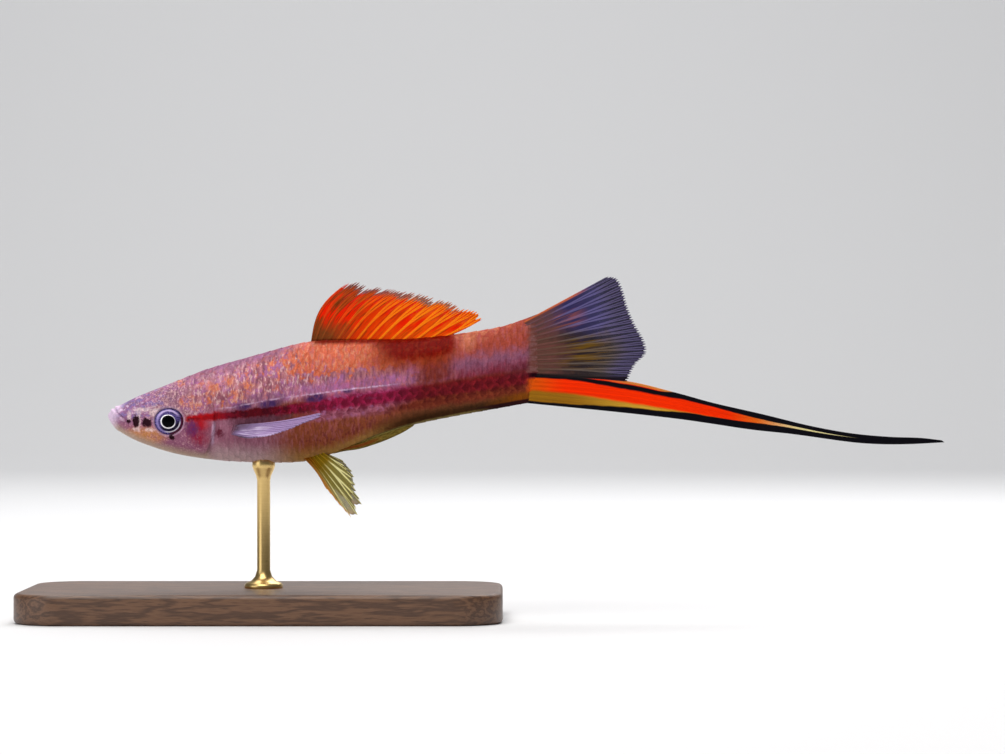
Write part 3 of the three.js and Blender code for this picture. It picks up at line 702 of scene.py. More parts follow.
def buildSkin():
    shape = skinMesh
    rings = shape["headRings"] + shape["tailRings"]
    bm = bmesh.new()
    bmesh.ops.create_uvsphere(bm, u_segments=shape["around"], v_segments=rings, radius=1)
    spots = {}
    for vert in bm.verts:
        ring = round(math.acos(clamp(vert.co.z, -1, 1)) / math.pi * rings)
        if ring <= shape["headRings"]:
            s = shape["headEnd"] * (ring / shape["headRings"]) ** shape["crowding"]
        else:
            run = (ring - shape["headRings"]) / (shape["tailRings"] - 1)
            s = shape["headEnd"] + (bodyForm["skinEnd"] - shape["headEnd"]) * min(run, 1)
        if ring in (0, rings):
            spots[vert.index] = Vector((s, 0, sectionAt(s)[0]))
        else:
            sink = bodyForm["skinSink"] if s > bodyForm["sinkFrom"] else 0.0
            spots[vert.index] = skinPoint(s, math.atan2(vert.co.y, vert.co.x), -sink)
    for vert in bm.verts:
        vert.co = spots[vert.index]
    bm.normal_update()
    bmesh.ops.recalc_face_normals(bm, faces=bm.faces[:])
    layMarks(bm, spots)
    for vert in bm.verts:
        spot = spots[vert.index]
        if spot.x < shape["headEnd"] + 1:
            vert.co = spot + vert.normal * headRelief(*spot)
    skin = linkMesh("bodySkin", bm, skinPaint("bareSkin", False))
    nodes = ("head", "lower_jaw", "gill_cover_left", "gill_cover_right", "trunk", "tail_stalk")
    finishPiece(skin, "flank_skin", *nodes)


# Scales: overlapping plates in staggered rows along both flanks
scaleForm = {
    "firstStation": 7.6,
    "lastStation": 69.6,
    "pitch": 1.92,
    "rowGapFront": 1.62,
    "rowGapTail": 1.3,
    "reach": 1.34,  # half length of a plate
    "rearLift": 0.05,
    "frontSink": 0.07,
    "thick": 0.02,
    "gridAlong": 5,
    "gridAcross": 4,
    "rowsAside": 14,
    "columns": 40,
    "napeHeight": 3.9,  # above it the scales start at napeFrom
    "napeFrom": 9.0,
    "gillClear": 1.7,
    "seeds": {"Left": 11, "Right": 12},
}
girthStep = 0.5


def girthAt(s, samples=60):
    turns = [math.radians(-90 + 180 * i / samples) for i in range(samples + 1)]
    spots = [skinPoint(s, turn) for turn in turns]
    reached = [0.0]
    for a, b in zip(spots, spots[1:]):
        reached.append(reached[-1] + (b - a).length)
    middle = reached[samples // 2]
    return [(length - middle, turn) for length, turn in zip(reached, turns)]


girthTable = [girthAt(i * girthStep) for i in range(int(bodyForm["skinEnd"] / girthStep) + 3)]


def turnAt(s, arc):
    table = girthTable[int(clamp(round(s / girthStep), 0, len(girthTable) - 1))]
    if arc <= table[0][0]:
        return table[0][1] - (table[0][0] - arc) * 0.25
    if arc >= table[-1][0]:
        return table[-1][1] + (arc - table[-1][0]) * 0.25
    low, high = 0, len(table) - 1
    while high - low > 1:
        mid = (low + high) // 2
        if table[mid][0] > arc:
            high = mid
        else:
            low = mid
    share = (arc - table[low][0]) / (table[high][0] - table[low][0])
    return table[low][1] + (table[high][1] - table[low][1]) * share


def plateTemplate():
    f = scaleForm
    bm = bmesh.new()
    bmesh.ops.create_grid(bm, x_segments=f["gridAlong"], y_segments=f["gridAcross"], size=1)
    for vert in bm.verts:
        x, y = vert.co.x, vert.co.y
        vert.co = Vector((x * math.sqrt(1 - y * y / 2), y * math.sqrt(1 - x * x / 2), 0))
    extruded = bmesh.ops.extrude_face_region(bm, geom=bm.faces[:])
    for part in extruded["geom"]:
        if isinstance(part, bmesh.types.BMVert):
            part.co.z += 1
    bmesh.ops.recalc_face_normals(bm, faces=bm.faces[:])
    for edge in bm.edges:  # a crisp rim keeps the shading of each plate flat
        edge.smooth = not any(abs(face.normal.z) < 0.5 for face in edge.link_faces)
    mesh = bpy.data.meshes.new("plateTemplate")
    bm.to_mesh(mesh)
    bm.free()
    return mesh


def scaleRoots(rng):
    f = scaleForm
    roots = []
    for row in range(-f["rowsAside"], f["rowsAside"] + 1):
        shift = 0.5 * (row % 2)
        for column in range(f["columns"]):
            s = f["firstStation"] + f["pitch"] * (column + shift)
            if s > f["lastStation"]:
                break
            rowGap = f["rowGapFront"] + (f["rowGapTail"] - f["rowGapFront"]) * smooth(s, 25, 66)
            arc = row * rowGap
            table = girthTable[round(s / girthStep)]
            if arc < table[0][0] - 0.2 or arc > table[-1][0] + 0.2:
                continue
            height = skinPoint(s, turnAt(s, arc)).z
            toGill = math.hypot(s - headForm["gillCentre"][0], height - headForm["gillCentre"][1])
            bare = toGill < headForm["gillRadius"] + f["gillClear"]
            if height >= f["napeHeight"]:
                bare = s < f["napeFrom"]
            if bare:
                continue
            roots.append((s + rng.uniform(-0.05, 0.05), arc, rowGap * rng.uniform(1.02, 1.1)))
    return roots


def buildScales(side, word, material):
    f = scaleForm
    rng = random.Random(f["seeds"][word])
    roots = scaleRoots(rng)
    template = plateTemplate()
    size = len(template.vertices)
    bm = bmesh.new()
    for _ in roots:
        bm.from_mesh(template)
    bpy.data.meshes.remove(template)
    bm.verts.ensure_lookup_table()
    bm.verts.index_update()
    rims = bm.verts.layers.float.new("rim")
    plates = bm.verts.layers.float_vector.new("plate")
    marks, bakes = {}, {}
    for number, (s, arc, rowHalf) in enumerate(roots):
        turnHeart = turnAt(s, arc)
        chance = rng.random()
        for vert in bm.verts[number * size:(number + 1) * size]:
            a, b, top = vert.co
            station = s + a * f["reach"]
            share = (a + 1) / 2
            lift = -f["frontSink"] + (f["frontSink"] + f["rearLift"]) * share - 0.05 * b * b * share
            lift -= (1 - top) * f["thick"]
            spot = skinPoint(station, turnAt(station, arc + b * rowHalf), lift)
            vert[rims] = max(a, 0) * 0.5 + math.hypot(a, b) * 0.5
            vert[plates] = (a, b, chance)
            bakes[vert.index] = (
                0.02 + 0.96 * s / 72 + a * 0.0015,
                0.02 + 0.96 * (turnHeart / math.pi + 0.5) + b * 0.0015,
            )
            marks[vert.index] = spot
            vert.co = Vector((spot.x, side * spot.y, spot.z))
    layMarks(bm, marks)
    bakeMap = bm.loops.layers.uv.new("OFBake")
    for face in bm.faces:
        for loop in face.loops:
            loop[bakeMap].uv = bakes[loop.vert.index]
    finishPiece(linkMesh("scales" + word, bm, material), "flank_skin")


buildSkin()
scaledSkin = skinPaint("scaledSkin", True)
for side, word in sides:
    buildScales(side, word, scaledSkin)


def eyePaint():
    f = eyeForm
    p = Paint("eyeIris", IOR=1.08, Coat_Weight=0.04, Coat_Roughness=0.02)
    x, _, z = p.spread("eyePlace")
    away = p.math("SQRT", x * x + z * z)
    streaks = p.noise(p.join(p.math("ARCTAN2", z, x) * 5.0, away * 0.7, 0.0), 2.0, 3.0)
    ragged = (p.noise(p.join(x, z, 3.0), 1.6, 3.0, 0.6) - 0.5) * 0.3
    dark = p.band(away + ragged * 0.5, f["ring"] + 0.02, 1.8, 0.1) * p.step(x * 0.35 - z, 0.1, 1.0)
    crescent = p.band(away, 1.84, 2.0, 0.06) * p.step(x * 0.6 - z * 0.8, 0.9, 1.5)
    silver = p.band(away + ragged * 0.12, f["pupil"], f["ring"] - 0.12 * p.step(x + z, 0.2, 1.2), 0.03)
    colour = p.lay(
        (0.035, 0.026, 0.1),
        (p.step(streaks, 0.4, 0.62), (0.14, 0.1, 0.32)),
        # paler lilac arc along the top of the iris: painted highlight
        (p.band(away + ragged, 1.78, 2.1, 0.12) * p.step(z - x * 0.2, 0.3, 1.4) * 0.85, (0.62, 0.48, 0.8)),
        (p.band(away + ragged, 1.7, 2.1, 0.14) * p.step(z * -0.4 - x, 0.4, 1.5) * 0.7, (0.34, 0.27, 0.6)),
        (dark * 0.92, (0.005, 0.003, 0.008)),
        (crescent * 0.95, (0.85, 0.8, 0.86)),
        (p.step(away, 2.0, 2.14) * p.step(x - z * 0.6, 1.2, 1.9) * 0.85, (0.1, 0.01, 0.014)),
        (silver, (0.95, 0.92, 0.94)),
        (p.step(away, f["pupil"] + 0.03, f["pupil"] - 0.03), (0.001, 0.001, 0.0015)),
        (p.step(away, 2.36, 2.44), (0.3, 0.2, 0.34)),
    )
    return p.drive(Base_Color=colour, Metallic=silver * 0.3 + 0.2 * crescent, Roughness=0.3)


def buildEye(side, word, material):
    f = eyeForm
    bm = bmesh.new()
    bmesh.ops.create_uvsphere(bm, u_segments=72, v_segments=48, radius=1)
    places = bm.verts.layers.float_vector.new("eyePlace")
    s, h = f["centre"]
    heart = Vector((s, side * (sideAt(s, h) - f["depth"] + f["bulge"]), h))
    turned = Matrix.Rotation(side * math.radians(f["yaw"]), 3, "Z")
    for vert in bm.verts:
        x, z, out = vert.co.x * f["radius"], vert.co.y * f["radius"], vert.co.z * f["depth"]
        away = math.hypot(x, z)
        if out > 0:
            pupilRise = 1 - smooth(away, f["pupil"] - 0.25, f["pupil"] + 0.1)
            out += 0.1 * pupilRise - 0.04 * hump(away, f["ring"] + 0.15, 0.15)
        vert[places] = (x, out, z)  # round here, oval in the shape
        vert.co = heart + turned @ Vector((x, side * out, z * f["tall"]))
    finishPiece(linkMesh("eye" + word, bm, material), "eye", "eye_" + word.lower())


iris = eyePaint()
for side, word in sides:
    buildEye(side, word, iris)


# Fins: thin sheets with branching rays as ridges on both faces
def raySpread(u, v, f):
    offset = u * (f["rays"] - 1 + 2 * f["edge"]) - f["edge"]
    offset -= clamp(round(offset), 0, f["rays"] - 1)
    firstFork, secondFork = f["forkStarts"]
    first = f["forks"][0] * smooth(v, firstFork, 1.0)
    second = f["forks"][1] * smooth(v, secondFork, 1.0)
    width = 0.2 - 0.07 * smooth(v, 0, secondFork) - 0.04 * smooth(v, secondFork, 1)
    lines = {side * first + twig * second for side in (-1, 1) for twig in (-1, 1)}
    return max(hump(offset, line, width) for line in lines)


def buildSheet(name, place, rayMask, thickness, columns, rows, material, slotName, node):
    mids = []
    for row in range(rows + 1):
        mids.append([place(column / columns, row / rows) for column in range(columns + 1)])
    normals = []
    for row in range(rows + 1):
        line = []
        for column in range(columns + 1):
            alongU = mids[row][min(column + 1, columns)] - mids[row][max(column - 1, 0)]
            alongV = mids[min(row + 1, rows)][column] - mids[max(row - 1, 0)][column]
            line.append(alongU.cross(alongV).normalized())
        normals.append(line)
    bm = bmesh.new()
    for _ in range(2):
        bmesh.ops.create_grid(bm, x_segments=columns, y_segments=rows, size=0.5)
    masks = bm.verts.layers.float.new("ray")
    finMap = bm.loops.layers.uv.new("finMap")
    bm.verts.ensure_lookup_table()
    bm.verts.index_update()
    half = len(bm.verts) // 2
    shares = {}
    for vert in bm.verts:
        u, v = vert.co.x + 0.5, vert.co.y + 0.5
        column, row = round(u * columns), round(v * rows)
        face = 1 if vert.index < half else -1
        mask = rayMask(u, v)
        rim = column in (0, columns) or row in (0, rows)
        offset = 0 if rim else thickness(u, v, mask)
        vert[masks] = mask
        shares[vert.index] = (u, v)
        vert.co = mids[row][column] + normals[row][column] * (face * offset)
    for face in bm.faces:
        for loop in face.loops:
            loop[finMap].uv = shares[loop.vert.index]
    bmesh.ops.remove_doubles(bm, verts=bm.verts[:], dist=1e-4)
    finishPiece(linkMesh(name, bm, material), slotName, node)


# A rayed fin that fans out from its root line to its margin
def buildFan(name, f, root, margin, material, slotName, node):
    foot, taper, tip, ridge = f["thick"]
    firstBow, lastBow = f["bow"]
    edge = lineThrough(margin)

    def mask(u, v):
        return raySpread(u, v, f)

    def thickness(u, v, ray):
        return max(tip, foot - taper * v) + ridge * (1 - 0.6 * v) * ray

    def place(u, v):
        start, end = root(u), edge(u)
        along = end - start
        sideways = Vector((-along.z, 0, along.x)).normalized()
        ragged = f["wisps"] * 1.4 * max(noise.noise(Vector((u * 19.0, start.x, 0))), 0)
        ragged += f["wisps"] * 1.3 * max(noise.noise(Vector((u * 61.0, start.x, 3))), 0)
        reach = v * (1 - f["fray"] * (1 - mask(u, 1.0) + ragged) * v * v)
        swell = (firstBow + (lastBow - firstBow) * u) * math.sin(math.pi * reach)
        spot = start + along * reach + sideways * swell
        spot.y += f["camber"] * reach * reach * math.sin(math.pi * (0.25 + 1.5 * u))
        return spot

    buildSheet(name, place, mask, thickness, f["rays"] * f["perRay"], f["rows"], material, slotName, node)


# Fin paints read the sheet's own map: u runs across the rays and v from root to margin
def finPaint(name, index=1.08, coat=0.02, coatRough=0.15):
    p = Paint(name, IOR=index, Coat_Weight=coat, Coat_Roughness=coatRough)
    u, v, _ = p.spread("finMap")
    return p, u, v, p.attribute("ray"), p.millimetres()


# Dorsal fin
dorsalForm = {
    "rootFrom": 33.9,
    "rootTo": 56.9,
    "margin": [
        (39.6, 21.8), (41.2, 22.25), (43.6, 21.7), (46.6, 21.1), (49.4, 20.8), (52.4, 20.2), (55.2, 19.4),
        (58.4, 18.5), (60.8, 17.6), (62.4, 16.8), (62.9, 16.1),
    ],
    "rays": 14,
    "edge": 0.3,
    "forks": (0.25, 0.125),
    "forkStarts": (0.08, 0.4),
    "bow": (1.5, -0.15),  # of the first and the last ray
    "lean": 1.45,
    "fray": 0.09,
    "wisps": 1.2,
    "camber": 0.5,
    "thick": (0.22, 0.16, 0.06, 0.1),  # at the root, lost to the margin, at least, and of the ray ridges
    "perRay": 24,
    "rows": 48,
}


def dorsalPaint():
    p, u, v, ray, place = finPaint("dorsalMembrane")
    wander = p.noise(place, 0.6, 3.0, 0.6) - 0.5
    streak = p.noise(p.join(u * 78.0, v * 2.6, 0.0), 1.0, 2.0, 0.6)
    broad = p.noise(p.join(u * 15.0, v * 1.6, 5.0), 1.0)
    olive = p.step(streak, 0.52, 0.62) * (0.85 - 0.5 * p.step(u, 0.25, 0.6))
    tips = p.step(v + wander * 0.14 + (broad - 0.5) * 0.3, 0.84, 0.95)
    tips = tips * p.fall(u, 0.72, 0.92) * p.step(u, 0.03, 0.1)
    line = p.blend(p.step(u + wander * 0.3, 0.12, 0.5), (0.66, 0.09, 0.012), (1.0, 0.24, 0.006))
    colour = p.lay(
        (0.74, 0.035, 0.001),
        (p.step(u + wander * 0.5, 0.4, 0.85), (0.86, 0.08, 0.002)),
        (p.fall(u + wander * 0.3, 0.1, 0.42) * 0.85, (0.24, 0.035, 0.006)),
        (p.step(broad, 0.44, 0.56) * p.step(v, 0.1, 0.4) * 0.95, (0.85, 0.012, 0.0005)),
        (olive, (0.12, 0.035, 0.003)),
        (p.step(ray, 0.5, 0.8) * (0.4 + 0.5 * p.step(u, 0.2, 0.7)), line),
        (p.fall(v + wander * 0.3, 0.05, 0.4) * p.fall(u, 0.2, 0.5) * 0.8, (0.14, 0.05, 0.012)),
        (tips * (0.92 - 0.4 * p.step(ray, 0.5, 0.9)), (0.07, 0.045, 0.055)),
        (p.fall(v, 0.01, 0.05) * 0.9, (0.12, 0.006, 0.002)),
        (p.fall(u, 0.004, 0.014) * p.step(v, 0.5, 0.8) * 0.7, (0.8, 0.3, 0.15)),
    )
    alpha = 1 - p.fall(ray, 0.2, 0.6) * (0.1 * p.step(v, 0.3, 0.8) + 0.45 * tips)
    normal = p.bump(p.math("SINE", v * 150.0) * ray, 30, 0.4)
    return p.drive(Base_Color=colour, Roughness=0.5, Alpha=alpha, Normal=normal)


def dorsalRoot(u):
    f = dorsalForm
    s = f["rootFrom"] + (f["rootTo"] - f["rootFrom"]) * u ** f["lean"]
    return Vector((s, 0, bodyLines["back"](s) - 0.25))


buildFan("dorsalFin", dorsalForm, dorsalRoot, dorsalForm["margin"], dorsalPaint(), "red_fin", "dorsal_fin")


# Tail fin
caudalForm = {
    "root": [(69.4, 15.5), (69.6, 11.8), (69.4, 6.75)],
    "margin": [
        (83.5, 23.1), (85.1, 22.8), (86.1, 21.0), (86.9, 18.2), (88.1, 15.3), (89.8, 12.2), (90.0, 10.2),
        (88.3, 8.4), (86.8, 5.45),
    ],
    "rays": 13,
    "edge": 0.25,
    "forks": (0.25, 0.11),
    "forkStarts": (0.2, 0.55),
    "bow": (0, 0),
    "fray": 0.034,
    "wisps": 0.0,
    "camber": 0.0,
    "thick": (0.45, 2.0, 0.07, 0.09),
    "perRay": 22,
    "rows": 60,
}


def caudalPaint():
    p, u, v, ray, place = finPaint("caudalMembrane")
    wander = p.noise(place, 0.5, 3.0, 0.6) - 0.5
    streak = p.noise(p.join(u * 40.0, v * 2.5, 0.0), 1.0, 2.0, 0.6)
    lower = p.step(u + wander * 0.3 + p.fall(v, 0.2, 0.7) * 0.2, 0.35, 0.65)
    rayTone = p.lay((0.13, 0.11, 0.27), (lower, (0.13, 0.1, 0.085)), (p.step(v, 0.7, 0.88), (0.12, 0.1, 0.2)))
    web = p.lay(
        (0.034, 0.029, 0.1),
        (lower, (0.028, 0.019, 0.022)),
        (p.step(v + wander * 0.1, 0.72, 0.9), (0.014, 0.011, 0.035)),
        (p.step(ray, 0.45, 0.8) * 0.85, rayTone),
    )
    gold = p.band(u + wander * 0.2, 0.52, 0.86, 0.1) * p.band(v, 0.28, 0.66, 0.14)
    flame = p.band(u + wander * 0.1, 0.16, 0.34, 0.06) * p.band(v, 0.24, 0.56, 0.1)
    footTone = p.blend(p.step(streak, 0.42, 0.58) * 0.7, "finRoot", (0.1, 0.055, 0.035))
    seam = p.step(u + 0.02 * v, 0.955, 0.985)
    colour = p.lay(
        p.shaded(web, 0.7 + streak * 0.6),
        (gold * p.step(streak, 0.42, 0.62) * 0.8, (0.17, 0.085, 0.004)),
        (flame * p.step(streak, 0.48, 0.6) * 0.55, (0.36, 0.09, 0.04)),
        (p.fall(v + wander * 0.35, 0.15, 0.5) * 0.85, footTone),
        (p.fall(u, 0.02, 0.05) * p.fall(v, 0.55, 0.8) * 0.9, (0.55, 0.12, 0.04)),
        (seam * 0.9, (0.008, 0.005, 0.007)),
    )
    alpha = 1 - 0.16 * p.fall(ray, 0.3, 0.7) * p.step(v, 0.4, 0.8) * (1 - seam)
    normal = p.bump(p.math("SINE", v * 260.0) * ray, 20, 0.4)
    return p.drive(Base_Color=colour, Roughness=0.5, Alpha=alpha, Normal=normal)


caudalRoot = lineThrough(caudalForm["root"])
buildFan("caudalFin", caudalForm, caudalRoot, caudalForm["margin"], caudalPaint(), "smoky_fin", "caudal_fin")


# Sword: the long lower rays of the tail fin
swordForm = {
    "top": [
        (70.0, 6.85), (86.6, 5.6), (95, 3.65, 0.1), (101, 2.0, 0.2), (109.7, 0.0, 0.5), (117.5, -1.9, 0.9),
        (124.4, -3.15, 1.3), (130.8, -3.75, 1.8), (136.2, -3.95, 2.2), (139.7, -4.35, 2.5),
    ],
    "bottom": [
        (70.0, 1.9), (85.2, 0.4), (95, -0.7, 0.1), (100, -1.4, 0.2), (107.7, -2.55, 0.5), (114.6, -3.3, 0.8),
        (124.4, -4.65, 1.3), (129.3, -5.0, 1.8), (134.2, -5.0, 2.1), (140.2, -4.7, 2.5),
    ],
    "rays": 7,
}


def swordPaint():
    p, u, v, _, place = finPaint("swordBands")
    s = p.split(place)[0] + stance["rodStation"]
    wander = (p.noise(place, 0.35) - 0.5) * 0.05
    fibre = p.noise(p.join(u * 26.0, v * 5.0, 0.0), 1.0)

    # A height across the blade that changes along it
    def drift(height, *turns):
        for amount, low, high in turns:
            height = height + amount * p.step(s, low, high)
        return height

    goldFrom = drift(0.55, (0.13, 76, 89))
    colour = p.lay(
        "swordOrange",
        (p.step(s, 70, 77), (0.92, 0.028, 0.0005)),
        (p.step(s, 103, 111), (0.75, 0.16, 0.01)),
        (p.step(s, 108, 117), (0.75, 0.66, 0.32)),
        (
            p.step(u + wander, goldFrom - 0.05, goldFrom + 0.06),
            p.blend(p.step(s, 76, 90), (0.3, 0.13, 0.008), (0.58, 0.32, 0.03)),
        ),
        (p.fall(u, 0.06, 0.1) * p.step(s, 82, 88), (0.6, 0.2, 0.04)),
    )
    topFrom = drift(0.0, (0.1, 76, 88), (-0.2, 92, 97))
    topTo = drift(0.12, (0.15, 76, 88), (-0.07, 90, 99), (0.16, 100, 112), (0.1, 112, 126))
    lowFrom = drift(0.9, (-0.1, 74, 90), (-0.13, 90, 99), (-0.14, 99, 115), (-0.06, 115, 125))
    topLine = p.step(u + wander, topFrom - 0.02, topFrom + 0.02)
    topLine = topLine * p.fall(u + wander, topTo - 0.03, topTo + 0.02)
    lowLine = p.step(u + wander, lowFrom - 0.02, lowFrom + 0.03)
    black = p.math("MAXIMUM", p.step(s + wander * 20, 121, 126), p.math("MAXIMUM", topLine, lowLine))
    colour = p.blend(black, p.shaded(colour, 0.75 + fibre * 0.5), (0.004, 0.0035, 0.006))
    height = p.math("SINE", v * 400.0) * 0.4 + fibre
    return p.drive(Base_Color=colour, Roughness=0.45, Normal=p.bump(height, 30, 0.35))


def buildSword():
    f = swordForm
    top, bottom = lineThrough(f["top"]), lineThrough(f["bottom"])

    def mask(u, v):
        return hump((u * f["rays"]) % 1.0, 0.5, 0.28)

    def thickness(u, v, ray):
        rounding = math.sqrt(max(1 - (2 * u - 1) ** 4, 0))
        return max(0.16, 0.42 - 2.6 * v) * rounding + 0.09 * ray * (1 - 0.5 * v)

    def place(u, v):
        return top(v).lerp(bottom(v), u)

    buildSheet("swordBlade", place, mask, thickness, f["rays"] * 8, 150, swordPaint(), "sword_fin", "sword")


buildSword()


# Pelvic fins
pelvicForm = {
    "rootFrom": 32.5,
    "rootTo": 35.9,
    "off": 1.2,
    "hinge": (34.2, -7.9),
    "margin": [
        (36.5, -12.3, 2.3), (41.0, -17.4, 3.4), (42.0, -17.1, 3.5), (41.3, -14.6, 3.6), (41.2, -12.0, 3.5),
        (40.9, -10.4, 3.2), (39.4, -8.3, 2.6),
    ],
    "turns": {"Left": (0.0, 1.0), "Right": (0.12, 0.93)},  # swing about the hinge, and size
    "rays": 7,
    "edge": 0.3,
    "forks": (0.2, 0.0),
    "forkStarts": (0.3, 0.6),
    "bow": (0.35, 0.0),
    "fray": 0.07,
    "wisps": 0.6,
    "camber": 0.0,
    "thick": (0.3, 0.23, 0.07, 0.16),
    "perRay": 12,
    "rows": 40,
}


def pelvicPaint():
    p, u, v, ray, place = finPaint("pelvicMembrane", 1.1)
    wander = p.noise(place, 0.8, 3.0) - 0.5
    rayTone = p.lay(
        (0.34, 0.2, 0.01),
        (p.step(v + wander * 0.2, 0.2, 0.45), (0.85, 0.8, 0.38)),
        (p.fall(u, 0.12, 0.4), (0.62, 0.24, 0.05)),
    )
    colour = p.lay(
        (0.2, 0.12, 0.003),
        (p.step(v + wander * 0.3, 0.15, 0.55), (0.26, 0.22, 0.05)),
        (p.step(ray, 0.4, 0.8) * 0.9, rayTone),
        (p.fall(u + wander * 0.15, 0.08, 0.3) * 0.75, (0.5, 0.2, 0.03)),
        (p.fall(v + wander * 0.2, 0.05, 0.32) * p.fall(u, 0.25, 0.6) * 0.9, (0.26, 0.08, 0.002)),
        (p.step(v + wander * 0.1, 0.86, 0.96) * p.fall(u, 0.3, 0.5) * 0.85, (0.75, 0.33, 0.06)),
    )
    alpha = 1 - 0.35 * p.fall(ray, 0.2, 0.7) * p.step(v, 0.3, 0.7) * p.step(u, 0.15, 0.4)
    normal = p.bump(p.math("SINE", v * 120.0) * ray, 30, 0.4)
    return p.drive(Base_Color=colour, Roughness=0.45, Alpha=alpha, Normal=normal)


def buildPelvic(side, word, material):
    f = pelvicForm
    swing, size = f["turns"][word]
    hinge = Vector(f["hinge"])
    turned = Matrix.Rotation(swing, 2)
    margin = []
    for s, h, y in f["margin"]:
        spot = hinge + turned @ ((Vector((s, h)) - hinge) * size)
        margin.append((spot.x, spot.y, side * y))

    def root(u):
        s = f["rootFrom"] + (f["rootTo"] - f["rootFrom"]) * u
        return Vector((s, side * f["off"], underAt(s, f["off"]) + 0.5))

    buildFan("pelvicFin" + word, f, root, margin, material, "gold_fin", "pelvic_fin_" + word.lower())


goldMembrane = pelvicPaint()
for side, word in sides:
    buildPelvic(side, word, goldMembrane)


# Pectoral fins
pectoralForm = {
    "root": 20.2,
    "rootTop": -1.9,
    "rootBottom": -3.2,
    "margin": [
        (36.1, 0.35, 7.6), (36.1, -0.2, 8.9), (34.0, -1.0, 10.4), (31.0, -2.3, 11.2), (27.8, -3.3, 10.6),
        (24.8, -3.7, 8.8),
    ],
    "rays": 12,
    "edge": 0.3,
    "forks": (0.2, 0.0),
    "forkStarts": (0.3, 0.6),
    "bow": (-0.5, -0.2),
    "fray": 0.03,
    "wisps": 0.0,
    "camber": 0.0,
    "thick": (0.26, 0.2, 0.06, 0.12),
    "perRay": 10,
    "rows": 36,
}


def pectoralPaint():
    p, u, v, ray, place = finPaint("pectoralMembrane", 1.15, 0.05, 0.12)
    wander = p.noise(place, 0.8, 3.0) - 0.5
    streak = p.noise(p.join(u * 16.0, v * 1.6, 0.0), 1.0, 3.0, 0.6)
    # Painted highlights: a pale patch across the middle of the fin and a pale band over its lower rays
    foldHighlight = p.blob(u + wander * 0.4, v + wander * 0.2, (0.6, 0.42), (0.3, 0.2), 0.95)
    shine = p.band(u + wander * 0.2, 0.66, 0.9, 0.08) * p.step(v, 0.45, 0.7)
    colour = p.lay(
        (0.26, 0.17, 0.34),
        (p.step(u + wander * 0.4, 0.3, 0.7), (0.29, 0.19, 0.38)),
        (p.step(u + wander * 0.3, 0.72, 0.95), (0.17, 0.1, 0.19)),
        (p.step(ray, 0.4, 0.8) * 0.7, (0.5, 0.36, 0.66)),
        # the two painted highlights
        (foldHighlight * p.step(streak, 0.44, 0.62) * 0.9, (0.92, 0.78, 1.0)),
        (shine * p.step(streak, 0.4, 0.56) * 0.7, (0.72, 0.56, 0.86)),
        (p.fall(v + wander * 0.3, 0.1, 0.5) * p.fall(u, 0.35, 0.75) * 0.75, (0.13, 0.08, 0.14)),
        (p.fall(v + wander * 0.2, 0.05, 0.25) * 0.6, (0.2, 0.1, 0.13)),
    )
    alpha = 1 - 0.35 * p.fall(ray, 0.2, 0.7) * p.step(v, 0.2, 0.6)
    alpha = alpha * p.step(v + wander * 0.1, 0.03, 0.2)
    return p.drive(Base_Color=colour, Roughness=0.3, Alpha=alpha)


def buildPectoral(side, word, material):
    f = pectoralForm
    margin = [(s, h, side * y) for s, h, y in f["margin"]]

    def root(u):
        h = f["rootTop"] + (f["rootBottom"] - f["rootTop"]) * u
        s = f["root"] + 0.5 * u
        return Vector((s, side * (sideAt(s, h) - 0.35), h))

    buildFan("pectoralFin" + word, f, root, margin, material, "lilac_fin", "pectoral_fin_" + word.lower())


lilacMembrane = pectoralPaint()
for side, word in sides:
    buildPectoral(side, word, lilacMembrane)


# Gonopodium
gonopodiumForm = {
    "line": [
        (37.2, -0.1, 0.6, 0.7), (39.4, -0.3, 0.5, 0.62), (42.2, -0.55, 0.6, 0.52), (45.6, -0.65, 0.71, 0.44),
        (48.9, -0.65, 0.55, 0.38), (51.2, -0.6, 0.24, 0.3),
    ],  # s, y, half height, half width
    "rise": 0.9,  # how far the root climbs into the belly
    "riseUntil": 0.45,
}


def gonopodiumPaint():
    p = Paint("gonopodiumSkin", IOR=1.1, Coat_Weight=0.03, Coat_Roughness=0.15)
    x, y, z = p.spread("rodPlace")
    fibre = p.noise(p.join(x * 1.5, y * 14.0, z), 1.0, 2.0)
    colour = p.lay(
        (0.06, 0.03, 0.003),
        (p.step(fibre, 0.35, 0.65), (0.26, 0.19, 0.035)),
        (p.band(y, -0.45, 0.35, 0.25) * p.band(x, 38, 45, 1.5) * 0.8, (0.2, 0.035, 0.004)),
        # lighter along the top of the rod: painted highlight
        (p.step(y, 0.6, 0.9) * 0.8, (0.55, 0.46, 0.14)),
    )
    return p.drive(Base_Color=colour, Roughness=0.4, Normal=p.bump(fibre, 50, 0.5))


def buildGonopodium():
    line = gonopodiumForm["line"]
    sideways, tall, wide = [through([(place[0], place[k]) for place in line]) for k in (1, 2, 3)]
    first, last = line[0][0], line[-1][0]
    bm = bmesh.new()
    bmesh.ops.create_uvsphere(bm, u_segments=40, v_segments=80, radius=1)
    places = bm.verts.layers.float_vector.new("rodPlace")
    for vert in bm.verts:
        travel = math.acos(clamp(vert.co.z, -1, 1)) / math.pi
        s = first + (last - first) * travel
        close = math.sqrt(max(1 - (2 * travel - 1) ** 8, 0))
        turn = math.atan2(vert.co.y, vert.co.x)
        ribbed = 1 - 0.07 * (1 + math.cos(turn * 6))
        across, upright = math.cos(turn) * ribbed, math.sin(turn) * ribbed
        rise = gonopodiumForm["rise"] * (1 - smooth(travel, 0, gonopodiumForm["riseUntil"]))
        centre = underAt(s, sideways(s)) + 0.05 - tall(s) + rise
        vert[places] = (s, upright, across)
        vert.co = (s, sideways(s) + wide(s) * close * across, centre + tall(s) * close * upright)
    finishPiece(linkMesh("gonopodiumRod", bm, gonopodiumPaint()), "gold_fin", "gonopodium")


buildGonopodium()


